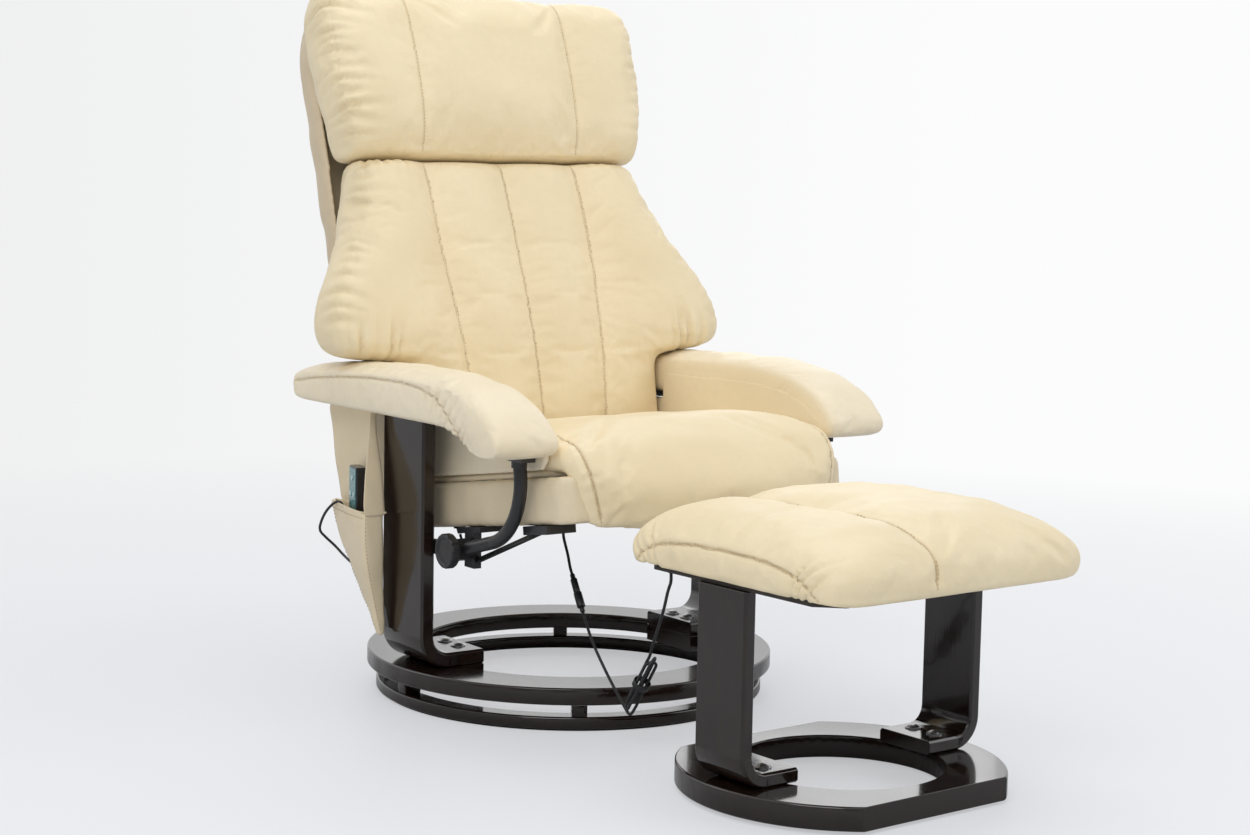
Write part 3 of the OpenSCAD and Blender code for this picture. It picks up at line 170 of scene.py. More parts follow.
class Shader(Tree):
    """One material's node tree around a Principled shader."""

    def __init__(self, name: str) -> None:
        """Starts an empty material."""
        self.material = bpy.data.materials.new(name)
        self.material.use_nodes = True
        super().__init__(self.material.node_tree)
        self.bsdf = self.tree.nodes["Principled BSDF"]
        self.where = self.node("TexCoord").outputs["Object"]

    def set(self, **values: object) -> None:
        """Sets constants on the shader's own sockets; an underscore stands for a space."""
        for key, value in values.items():
            self.bsdf.inputs[key.replace("_", " ")].default_value = value

    def stretched(self, scale: Triple) -> Socket:
        """Object coordinates scaled by axis."""
        mapping = self.node("Mapping", Scale=scale)
        self.join(self.where, mapping.inputs["Vector"])
        return mapping.outputs["Vector"]

    def noise(self, scale: float, detail: float = 3, where: Socket | None = None) -> Socket:
        """Value of a noise texture in metres' scale."""
        made = self.node("TexNoise", Scale=scale, Detail=detail)
        self.join(where or self.where, made.inputs["Vector"])
        return made.outputs["Fac"]

    def shade(self, under: Tint, over: Tint, value: Socket) -> Socket:
        """Mixes two colours, or sockets that give colours, by a value."""
        made = self.node("Mix", data_type="RGBA")
        sockets = [s for s in made.inputs if s.type == "RGBA"]
        for tint, socket in zip((under, over), sockets):
            if isinstance(tint, tuple):
                socket.default_value = (*tint, 1)
            else:
                self.join(tint, socket)
        self.join(value, made.inputs[0])
        return [s for s in made.outputs if s.type == "RGBA"][0]

    def bump(self, height: Socket, depth: float, strength: float, under: Socket | None = None) -> Socket:
        """Bump of a depth in metres over another normal."""
        made = self.node("Bump", Strength=strength, Distance=depth)
        self.join(height, made.inputs["Height"])
        if under is not None:
            self.join(under, made.inputs["Normal"])
        return made.outputs["Normal"]

    def blend(self, under: Socket, over: Socket | None, share: Socket) -> Socket:
        """Mixes two shaders by a share, where None stands for black."""
        made = self.node("MixShader")
        self.join(share, made.inputs["Fac"])
        self.join(under, made.inputs[1])
        if over is not None:
            self.join(over, made.inputs[2])
        return made.outputs[0]

    def done(self, colour: Socket, rough: Socket, normal: Socket) -> bpy.types.Material:
        """Joins colour, roughness and normal to the shader."""
        for socket, name in ((colour, "Base Color"), (rough, "Roughness"), (normal, "Normal")):
            self.join(socket, self.bsdf.inputs[name])
        return self.material


@dataclass(frozen=True)
class Leather:
    """Coated leather with a pebbled grain and patchy colour, with painted shade in its seam grooves and
    creases.
    """

    name: str
    colour: Triple
    slot: str
    # deep: the colour of the painted shade in seam grooves and creases
    deep: Triple = (0.42, 0.27, 0.11)
    rough: Pair = (0.4, 0.52)
    grain: float = 620.0
    depth: float = 0.00032

    def material(self) -> bpy.types.Material:
        """Builds the shader."""
        s = Shader(self.name)
        s.set(Sheen_Weight=0.06, Sheen_Roughness=0.4, Specular_IOR_Level=0.42, Coat_Weight=0.05,
              Coat_Roughness=0.3)
        pebble = s.node("TexVoronoi", feature="SMOOTH_F1", Scale=self.grain)
        s.join(s.where, pebble.inputs["Vector"])
        pores = s.noise(self.grain * 2.2, 2)
        patch = s.ramp(s.noise(5.5, 4), 0.35, 0.65, 0, 1)
        fine = s.ramp(s.noise(75, 5), 0.3, 0.7, 0, 1)
        pale = tuple(min(1.0, c * 1.03) for c in self.colour)
        dull = tuple(c * k for c, k in zip(self.colour, (0.965, 0.95, 0.91)))
        tint = s.shade(dull, pale, patch)
        tint = s.shade(tint, tuple(c * 0.95 for c in self.colour), s.ramp(fine, 0.2, 0.9, 0, 0.35))
        # Painted shade: the seam attribute darkens the leather towards the deep colour in seam grooves and
        # crease folds.
        seam = s.node("Attribute", attribute_name="seam")
        tint = s.shade(tint, self.deep, seam.outputs["Fac"])
        rough = s.ramp(s.noise(28, 4), 0.3, 0.7, self.rough[0], self.rough[1])
        normal = s.bump(pebble.outputs["Distance"], self.depth, 0.75)
        normal = s.bump(pores, self.depth * 0.35, 0.5, normal)
        normal = s.bump(s.noise(45, 4), 0.0011, 0.5, normal)
        return s.done(tint, rough, normal)


@dataclass(frozen=True)
class Lacquer:
    """Dark stained bentwood under clear lacquer, its grain drawn along one axis."""

    name: str
    along: Triple
    slot: str = "lacquered_wood"
    colour: Triple = (0.0105, 0.0062, 0.005)
    vein: Triple = (0.024, 0.0125, 0.0085)

    def material(self) -> bpy.types.Material:
        """Builds the shader."""
        s = Shader(self.name)
        s.set(Coat_Weight=0.35, Coat_Roughness=0.05, Specular_IOR_Level=0.42)
        lines = s.noise(34, 8, s.stretched(self.along))
        tint = s.shade(self.colour, self.vein, s.ramp(lines, 0.42, 0.68, 0, 1))
        smear = s.ramp(s.noise(7, 5), 0.3, 0.7, 0.09, 0.17)
        normal = s.bump(lines, 0.00022, 0.35)
        normal = s.bump(s.noise(14, 2), 0.0009, 0.16, normal)
        return s.done(tint, smear, normal)


@dataclass(frozen=True)
class Plain:
    """A hard or woven finish: colour with mottling, roughness range and surface grain."""

    name: str
    colour: Triple
    slot: str
    rough: Pair = (0.35, 0.5)
    mottle: float = 0.18
    scale: float = 160.0
    grain: float = 900.0
    depth: float = 0.0001
    metal: float = 0.0
    coat: float = 0.0
    sheen: float = 0.0
    weave: float = 0.0

    def material(self) -> bpy.types.Material:
        """Builds the shader."""
        s = Shader(self.name)
        s.set(Metallic=self.metal, Coat_Weight=self.coat, Coat_Roughness=0.12, Sheen_Weight=self.sheen)
        low = tuple(c * (1 - self.mottle) for c in self.colour)
        high = tuple(min(1.0, c * (1 + self.mottle)) for c in self.colour)
        tint = s.shade(low, high, s.ramp(s.noise(self.scale, 5), 0.3, 0.7, 0, 1))
        rough = s.ramp(s.noise(self.scale * 0.6, 4), 0.3, 0.7, self.rough[0], self.rough[1])
        normal = s.bump(s.noise(self.grain, 3), self.depth, 0.6)
        if self.weave:
            for axis in ("X", "Y", "Z"):
                wave = s.node("TexWave", bands_direction=axis, Scale=self.weave)
                s.join(s.where, wave.inputs["Vector"])
                normal = s.bump(wave.outputs["Fac"], 0.0005, 0.4, normal)
        return s.done(tint, rough, normal)


CREAM = Leather("cream_leather", (0.9, 0.765, 0.515), "cream_leather")
# Painted light: a paler, less yellow copy of the cream leather for the lit arms and their panels.
ARM_CREAM_LIT = Leather("arm_leather_lit", (0.91, 0.8, 0.6), "cream_leather", rough=(0.38, 0.5))
# Painted shade: a darker copy of the cream leather for the back shell, which stands in shade.
REAR_SHADED = Leather("rear_leather", (0.68, 0.56, 0.39), "rear_leather", deep=(0.28, 0.2, 0.11))
# Painted shade: a darker copy of the cream leather for the pouch, the seat box and its roll, which stand in
# shade.
POUCH_SHADED = Leather("pouch_leather_shaded", (0.8, 0.68, 0.48), "rear_leather", deep=(0.34, 0.24, 0.12))
WOOD_UP = Lacquer("leg_wood", (9, 9, 0.6))
WOOD_FLAT = Lacquer("base_wood", (7, 0.8, 9))
STEEL = Plain("powder_steel", (0.016, 0.016, 0.018), "black_steel", (0.3, 0.46), coat=0.15, depth=0.00018)
BOLT = Plain("bolt_steel", (0.34, 0.34, 0.35), "bolt_steel", (0.25, 0.45), metal=1.0, scale=220)
PLASTIC = Plain("black_plastic", (0.018, 0.018, 0.02), "black_plastic", (0.36, 0.5), depth=0.00014)
RUBBER = Plain("foot_rubber", (0.02, 0.02, 0.021), "foot_rubber", (0.7, 0.9), depth=0.0003)
NYLON = Plain("nylon_shoe", (0.74, 0.72, 0.66), "nylon", (0.35, 0.5), mottle=0.05)
BOARD = Plain("deck_board", (0.05, 0.042, 0.036), "board", (0.6, 0.8), depth=0.0004, scale=60)
WEBBING = Plain("elastic_webbing", (0.045, 0.045, 0.05), "webbing", (0.7, 0.9), sheen=0.3, weave=130)
FLEECE = Plain("dust_fleece", (0.03, 0.03, 0.032), "webbing", (0.85, 1.0), sheen=0.4, depth=0.0006,
               grain=1400)
CASE = Plain("motor_case", (0.2, 0.2, 0.21), "motor_case", (0.4, 0.55), mottle=0.08)
HANDSET = Plain("handset_black", (0.014, 0.014, 0.016), "handset_black", (0.25, 0.38), coat=0.2)
FACE = Plain("handset_face", (0.03, 0.2, 0.22), "handset_face", (0.2, 0.32), mottle=0.1, coat=0.35)
KEYS = Plain("handset_keys", (0.46, 0.6, 0.6), "handset_keys", (0.4, 0.55), mottle=0.06)
SHEATH = Plain("cord_sheath", (0.016, 0.016, 0.017), "cord_sheath", (0.42, 0.56), depth=0.00012)
PLUG = Plain("plug_plastic", (0.014, 0.014, 0.015), "plug_plastic", (0.3, 0.45))
THREAD = Plain("seam_thread", (0.66, 0.5, 0.28), "cream_leather", (0.6, 0.8), sheen=0.3, weave=900)
# Painted shade: a darker copy of the thread for the shaded rear leather.
THREAD_REAR_SHADED = Plain("rear_thread_shaded", (0.46, 0.34, 0.2), "rear_leather", (0.6, 0.8), sheen=0.3, weave=900)

Finish = Leather | Lacquer | Plain
_made: dict[str, bpy.types.Material] = {}


def finished(finish: Finish) -> bpy.types.Material:
    """The finish's material, made once."""
    if finish.name not in _made:
        _made[finish.name] = finish.material()
    return _made[finish.name]


# Mesh helpers


def coords(obj: Piece) -> np.ndarray:
    """The mesh's points as an array."""
    flat = np.empty(len(obj.data.vertices) * 3)
    obj.data.vertices.foreach_get("co", flat)
    return flat.reshape(-1, 3)


def set_coords(obj: Piece, points: np.ndarray) -> None:
    """Writes the mesh's points."""
    obj.data.vertices.foreach_set("co", points.astype(np.float32).ravel())
    obj.data.update()


def normals(obj: Piece) -> np.ndarray:
    """The mesh's point normals."""
    flat = np.empty(len(obj.data.vertices) * 3, np.float32)
    obj.data.vertex_normals.foreach_get("vector", flat)
    return flat.reshape(-1, 3).astype(float)


def mesh_object(name: str, points: list, faces: list, place: Matrix | None = None) -> Piece:
    """Makes an object from points in metres and faces.

    Args:
        name: the piece's name.
        points: its points.
        faces: its faces as rows of point numbers.
        place: the frame that the points are in.

    Returns:
        The linked object, its mesh in the row frame.
    """
    mesh = bpy.data.meshes.new(name)
    mesh.from_pydata([tuple(p) for p in points], [], faces)
    if place is not None:
        mesh.transform(place)
    mesh.validate()
    obj = bpy.data.objects.new(name, mesh)
    bpy.context.scene.collection.objects.link(obj)
    return obj


def modify(obj: Piece, kind: str, **values: object) -> None:
    """Adds a modifier and sets its properties."""
    made = obj.modifiers.new(kind.lower(), kind)
    for key, value in values.items():
        setattr(made, key, value)


def apply_modifiers(obj: Piece) -> None:
    """Turns the modified mesh into the object's own mesh."""
    graph = bpy.context.evaluated_depsgraph_get()
    new = bpy.data.meshes.new_from_object(obj.evaluated_get(graph))
    obj.modifiers.clear()
    obj.data = new


def smooth_faces(obj: Piece) -> None:
    """Shades every face smooth."""
    obj.data.polygons.foreach_set("use_smooth", [True] * len(obj.data.polygons))


def outward(obj: Piece) -> None:
    """Turns every face outwards."""
    work = bmesh.new()
    work.from_mesh(obj.data)
    bmesh.ops.recalc_face_normals(work, faces=work.faces)
    work.to_mesh(obj.data)
    work.free()


def subdivide(obj: Piece, levels: int = 1) -> None:
    """Subdivides the mesh itself."""
    modify(obj, "SUBSURF", levels=levels, render_levels=levels)
    apply_modifiers(obj)


def remesh(obj: Piece, voxel: float) -> None:
    """Rebuilds the mesh as even squares of one size and relaxes it."""
    modify(obj, "REMESH", mode="VOXEL", voxel_size=voxel)
    modify(obj, "SMOOTH", factor=0.5, iterations=4)
    apply_modifiers(obj)


def dress(obj: Piece, finish: Finish, body: Body, *nodes: str) -> Piece:
    """Gives a piece its finish and its body, and hides the CAD nodes it stands for."""
    obj.data.materials.clear()
    obj.data.materials.append(finished(finish))
    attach(obj, body.value)
    if nodes:
        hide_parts(*nodes)
    LOG.info("%s: %d points on %s", obj.name, len(obj.data.vertices), body.value)
    return obj


def quads(rows: int, n: int, base: int = 0, loop: bool = True) -> list[tuple[int, ...]]:
    """Faces between rows of n points each, the rows being loops or open."""
    starts = [base + j * n for j in range(rows - 1)]
    pairs = [(a + k, a + (k + 1) % n) for a in starts for k in range(n if loop else n - 1)]
    return [(a, b, b + n, a + n) for a, b in pairs]


def tube_faces(rows: int, sides: int, base: int = 0) -> list[tuple[int, ...]]:
    """Faces of a tube with closed ends."""
    first, last = range(base, base + sides), range(base + (rows - 1) * sides, base + rows * sides)
    return quads(rows, sides, base) + [tuple(first)[::-1], tuple(last)]


def circle(centre: np.ndarray, u: np.ndarray, v: np.ndarray, r: float, sides: int) -> list[np.ndarray]:
    """Points of a circle that two directions span."""
    angles = [2 * math.pi * k / sides for k in range(sides)]
    return [centre + r * (math.cos(a) * u + math.sin(a) * v) for a in angles]


def tube(name: str, path: np.ndarray, radius: float, sides: int) -> Piece:
    """A round tube along a path, with rings carried along it without twist.

    Args:
        name: the piece's name.
        path: points in metres.
        radius: its radius in metres.
        sides: points in a ring.

    Returns:
        The object.
    """
    head = np.gradient(path, axis=0)
    head /= np.linalg.norm(head, axis=1)[:, None]
    across = np.cross(head[0], (0.3, 0.5, 0.8))
    points = []
    for p, h in zip(path, head):
        across = across - h * float(across @ h)
        across /= np.linalg.norm(across)
        points += circle(p, across, np.cross(h, across), radius, sides)
    obj = mesh_object(name, points, tube_faces(len(path), sides))
    smooth_faces(obj)
    return obj


def ring_skin(name: str, rings: list[Ring], place: Matrix, shut: bool = True) -> Piece:
    """A closed skin over rings whose ends close like a ladder, then subdivided.

    Args:
        name: the piece's name.
        rings: rows of points in millimetres, an upper run and then the lower run backwards.
        place: the local frame.
        shut: whether the first end is closed too.

    Returns:
        The object.
    """
    n, m = len(rings[0]), len(rings)
    cap = [(i, n - 1 - i, n - 2 - i, i + 1) for i in range(n // 2 - 1)]
    faces = quads(m, n) + (cap if shut else []) + [tuple(k + (m - 1) * n for k in f)[::-1] for f in cap]
    obj = mesh_object(name, [Vector(p) * MM for r in rings for p in r], faces, place)
    outward(obj)
    subdivide(obj, 2)
    return obj


CLOTH = {"quality": 4, "mass": 0.25, "tension_stiffness": 18, "compression_stiffness": 18,
         "shear_stiffness": 8, "bending_stiffness": 0.6, "use_pressure": True, "uniform_pressure_force": 4.0,
         "vertex_group_mass": "held"}
SIM_FRAMES = 20
UNBLOWN_SHARE = 0.35


def swell(obj: Piece, held: np.ndarray, cap: float, slack: float, blown: bool) -> None:
    """Blows the cover up with the cloth solver, with some points held, and caps each point's move.

    Args:
        obj: the piece, whose mesh changes.
        held: 0 to 1 at each point, 1 where it stays.
        cap: the furthest that a point may move, in metres.
        slack: share by which the cover is cut too large, so that it puckers.
        blown: whether the cloth solver is used at all.
    """
    start = coords(obj)
    if not blown:
        set_coords(obj, start + normals(obj) * (UNBLOWN_SHARE * cap * (1 - held))[:, None])
        return
    group = obj.vertex_groups.new(name="held")
    level = np.round(held * 10).astype(int)
    for k in range(1, 11):
        rows = np.nonzero(level == k)[0].tolist()
        if rows:
            group.add(rows, k / 10, "REPLACE")
    cloth = obj.modifiers.new("cover", "CLOTH")
    settings = cloth.settings
    for key, value in CLOTH.items():
        setattr(settings, key, value)
    settings.effector_weights.gravity = 0
    settings.shrink_min = -slack
    cloth.point_cache.frame_start, cloth.point_cache.frame_end = 1, SIM_FRAMES
    scene = bpy.context.scene
    for number in range(1, SIM_FRAMES + 1):
        scene.frame_set(number)
    graph = bpy.context.evaluated_depsgraph_get()
    shape = obj.evaluated_get(graph).to_mesh()
    flat = np.empty(len(shape.vertices) * 3)
    shape.vertices.foreach_get("co", flat)
    move = flat.reshape(-1, 3) - start
    obj.evaluated_get(graph).to_mesh_clear()
    obj.modifiers.clear()
    obj.vertex_groups.clear()
    scene.frame_set(1)
    far = np.linalg.norm(move, axis=1)
    LOG.info("%s swelled by %.1f mm at most", obj.name, far.max() / MM)
    move *= np.minimum(1.0, cap / np.maximum(far, 1e-9))[:, None]
    set_coords(obj, start + move)


def undulate(obj: Piece, depth: float, wave: float, seed: int, weight: np.ndarray | float = 1.0) -> None:
    """Moves the points along their normals by a seeded sum of waves.

    Args:
        obj: the piece.
        depth: the mean height in metres.
        wave: the mean wave length in metres.
        seed: picks the waves.
        weight: a share for each point.
    """
    draw = np.random.default_rng(seed)
    points = coords(obj)
    height, waves = np.zeros(len(points)), 14
    for _ in range(waves):
        way = draw.normal(size=3)
        way /= np.linalg.norm(way)
        length = wave * draw.uniform(0.6, 1.7)
        height += np.sin(points @ way * (2 * math.pi / length) + draw.uniform(0, 7))
    set_coords(obj, points + normals(obj) * (depth * height / math.sqrt(waves / 2) * weight)[:, None])


class Surface:
    """Finds points on a mesh by rays thrown in a local frame."""

    def __init__(self, obj: Piece, place: Matrix = Matrix()) -> None:
        """Builds the tree of the object's faces."""
        self.tree = BVHTree.FromPolygons([v.co for v in obj.data.vertices],
                                         [p.vertices for p in obj.data.polygons])
        self.place = place

    def along(self, starts: list, ways: list[Vector]) -> np.ndarray:
        """Throws a ray from each start.

        Args:
            starts: points in millimetres in the local frame.
            ways: a direction for each start, in the local frame.

        Returns:
            The path through the points that were hit, in the row frame.
        """
        turn = self.place.to_3x3()
        hits = [self.tree.ray_cast(self.place @ (Vector(s) * MM), (turn @ w).normalized())
                for s, w in zip(starts, ways)]
        found = [tuple(h[0]) for h in hits if h[0] is not None]
        if len(found) < 2:
            raise ValueError(f"no line on the surface from {tuple(starts[0])} to {tuple(starts[-1])}")
        return even_path(np.array(found))

    def front(self, points: list[Pair], rear: bool = False) -> np.ndarray:
        """Drops a line drawn in the front view onto the surface, from the front or from the rear."""
        off, way = (500, -1) if rear else (-700, 1)
        line = even_path(np.array([(x, off, z) for x, z in points], float), 4, 1)
        return self.along(line.tolist(), [Vector((0, way, 0))] * len(line))

    def side(self, x: float, points: list[Pair]) -> np.ndarray:
        """Drops a line drawn in the side view onto the surface, from the side where x lies."""
        line = even_path(np.array([(x, y, z) for y, z in points], float), 4, 1)
        return self.along(line.tolist(), [Vector((-x, 0, 0))] * len(line))

    def hoop(self, x: float, centre: Pair, angles: Pair) -> np.ndarray:
        """A line round the form in the plane of one x, found by rays towards a centre.

        Args:
            x: the plane.
            centre: y and z that the rays point at.
            angles: first and last angle in degrees from +y towards +z.

        Returns:
            The path.
        """
        starts, ways, out = [], [], 420
        for a in np.radians(np.linspace(angles[0], angles[1], 120)):
            way = Vector((0, -math.cos(a), -math.sin(a)))
            starts.append(Vector((x, centre[0], centre[1])) - way * out)
            ways.append(way)
        return self.along(starts, ways)


def even_path(points: np.ndarray, pace: float = 0.002, blur: int = 3) -> np.ndarray:
    """Smooths a row of points and sets new ones an even pace apart."""
    line = points.copy()
    for _ in range(blur):
        line[1:-1] = (line[:-2] + 2 * line[1:-1] + line[2:]) / 4
    gone = np.concatenate([[0], np.cumsum(np.linalg.norm(np.diff(line, axis=0), axis=1))])
    steps = np.linspace(0, gone[-1], max(2, int(gone[-1] / pace)))
    return np.stack([np.interp(steps, gone, line[:, k]) for k in range(3)], axis=1)


@dataclass
class Near:
    """Where a mesh's points lie beside a path: which, how far, and how far along it."""

    rows: np.ndarray
    far: np.ndarray
    gone: np.ndarray
    whole: float

    @classmethod
    def of(cls, obj: Piece, path: np.ndarray, reach: float) -> "Near":
        """Measures the points within reach of the path."""
        points = coords(obj)
        low, high = path.min(0) - reach, path.max(0) + reach
        rows = np.nonzero(((points > low) & (points < high)).all(axis=1))[0]
        tree = KDTree(len(path))
        for i, p in enumerate(path):
            tree.insert(p, i)
        tree.balance()
        found = [tree.find(points[r]) for r in rows]
        far = np.array([f[2] for f in found]) if found else np.zeros(0)
        step = float(np.linalg.norm(np.diff(path, axis=0), axis=1).mean())
        gone = np.array([f[1] for f in found], float) * step if found else np.zeros(0)
        keep = far < reach
        return cls(rows[keep], far[keep], gone[keep], step * (len(path) - 1))

    def ends(self, fade: float) -> np.ndarray:
        """1 along the path, falling to 0 at its ends."""
        k = np.clip(np.minimum(self.gone, self.whole - self.gone) / fade, 0, 1)
        return k * k * (3 - 2 * k)


def shift_along_normals(obj: Piece, rows: np.ndarray, height: np.ndarray) -> None:
    """Moves some points along their normals."""
    points = coords(obj)
    points[rows] += normals(obj)[rows] * height[:, None]
    set_coords(obj, points)


def paint_shade(obj: Piece, rows: np.ndarray, value: np.ndarray) -> None:
    """Raises the seam attribute, the share of painted shade, at some points."""
    layer = obj.data.attributes.get("seam") or obj.data.attributes.new("seam", "FLOAT", "POINT")
    old = np.empty(len(obj.data.vertices), np.float32)
    layer.data.foreach_get("value", old)
    old[rows] = np.maximum(old[rows], value)
    layer.data.foreach_set("value", old)


@dataclass
class Seam:
    """A sewn seam: a sharp groove in a wide valley, with stitches sunk in it and painted shade along the
    groove.
    """

    path: np.ndarray
    valley: float = 0.003
    wide: float = 0.016
    groove: float = 0.0022
    line: float = 0.0024
    # painted_shade: how dark the painted shade along the groove is
    painted_shade: float = 0.75

    def press(self, obj: Piece) -> None:
        """Presses the seam into a piece and paints shade along its groove."""
        near = Near.of(obj, self.path, self.wide * 2.4)
        fade = near.ends(0.012)
        valley = self.valley * np.exp(-near.far / self.wide)
        groove = self.groove * np.exp(-(near.far / self.line) ** 2)
        shift_along_normals(obj, near.rows, -(valley + groove) * fade)
        paint_shade(obj, near.rows, self.painted_shade * np.exp(-(near.far / (self.line * 0.8)) ** 2) * fade)


# Finer seams: a narrower groove and lighter painted shade.
FINE = {"groove": 0.0016, "line": 0.0017, "painted_shade": 0.42}


@dataclass
class Gather:
    """Puckers that run away from an edge or a seam: random creases with puffs between, and painted shade in
    the creases.
    """

    path: np.ndarray
    pitch: float = 0.016
    depth: float = 0.003
    reach: float = 0.045
    lean: float = 0.0
    seed: int = 1
    # painted_shade: how dark the painted shade in the creases is
    painted_shade: float = 0.12

    def press(self, obj: Piece) -> None:
        """Presses the creases into a piece and paints shade into them."""
        near = Near.of(obj, self.path, self.reach * 1.6)
        if not len(near.rows):
            return
        draw = np.random.default_rng(self.seed)
        at = draw.uniform(0, self.pitch)
        crease = np.zeros(len(near.rows))
        puff = np.zeros(len(near.rows))
        while at < near.whole:
            reach = self.reach * draw.uniform(0.45, 1.1)
            lean = self.lean + draw.uniform(-0.12, 0.12)
            wide = self.pitch * draw.uniform(0.16, 0.26)
            strong = draw.uniform(0.45, 1.0)
            off = near.gone - at - lean * near.far
            along = np.exp(-(near.far / reach) ** 2)
            crease += strong * np.exp(-np.abs(off / (wide * (1 + near.far / self.reach))) ** 1.5) * along
            side = (off - self.pitch * 0.5) / (self.pitch * 0.34)
            puff += strong * np.exp(-side ** 2) * along
            at += self.pitch * draw.uniform(0.65, 1.45)
        fade = near.ends(self.pitch)
        height = (-self.depth * np.minimum(crease, 1.2) + 0.4 * self.depth * np.minimum(puff, 1)) * fade
        shift_along_normals(obj, near.rows, height)
        paint_shade(obj, near.rows, self.painted_shade * np.clip(crease, 0, 1) ** 2 * fade)


def stitches(name: str, obj: Piece, paths: list[np.ndarray], finish: Finish, body: Body) -> Piece:
    """Lays rows of stitches along paths on a finished surface.

    Args:
        name: the piece's name.
        obj: the piece they are sewn into.
        paths: rows of points near its surface.
        finish: the thread's finish.
        body: the body they ride on.

    Returns:
        The object with all the stitches.
    """
    pitch, long, thick, sides = 0.0055, 0.0038, 0.00045, 6
    profile = ((-0.5, 0.4, -0.4), (-0.34, 1, 0.5), (0, 1, 0.9), (0.34, 1, 0.5), (0.5, 0.4, -0.4))
    tree = Surface(obj).tree
    points: list[np.ndarray] = []
    faces: list[tuple[int, ...]] = []
    for path in paths:
        line = even_path(path, pitch, 1)
        for a, b in zip(line[:-1], line[1:]):
            hit = tree.find_nearest(Vector((a + b) / 2))
            if hit[0] is None:
                continue
            middle, up = np.array(hit[0]), np.array(hit[1])
            way = (b - a) - up * float((b - a) @ up)
            way /= max(np.linalg.norm(way), 1e-9)
            side = np.cross(up, way)
            faces += tube_faces(len(profile), sides, len(points))
            for t, r, h in profile:
                points += circle(middle + way * t * long + up * (h * thick), side, up, thick * r, sides)
    made = mesh_object(name, points, faces)
    smooth_faces(made)
    return dress(made, finish, body)


# The studio


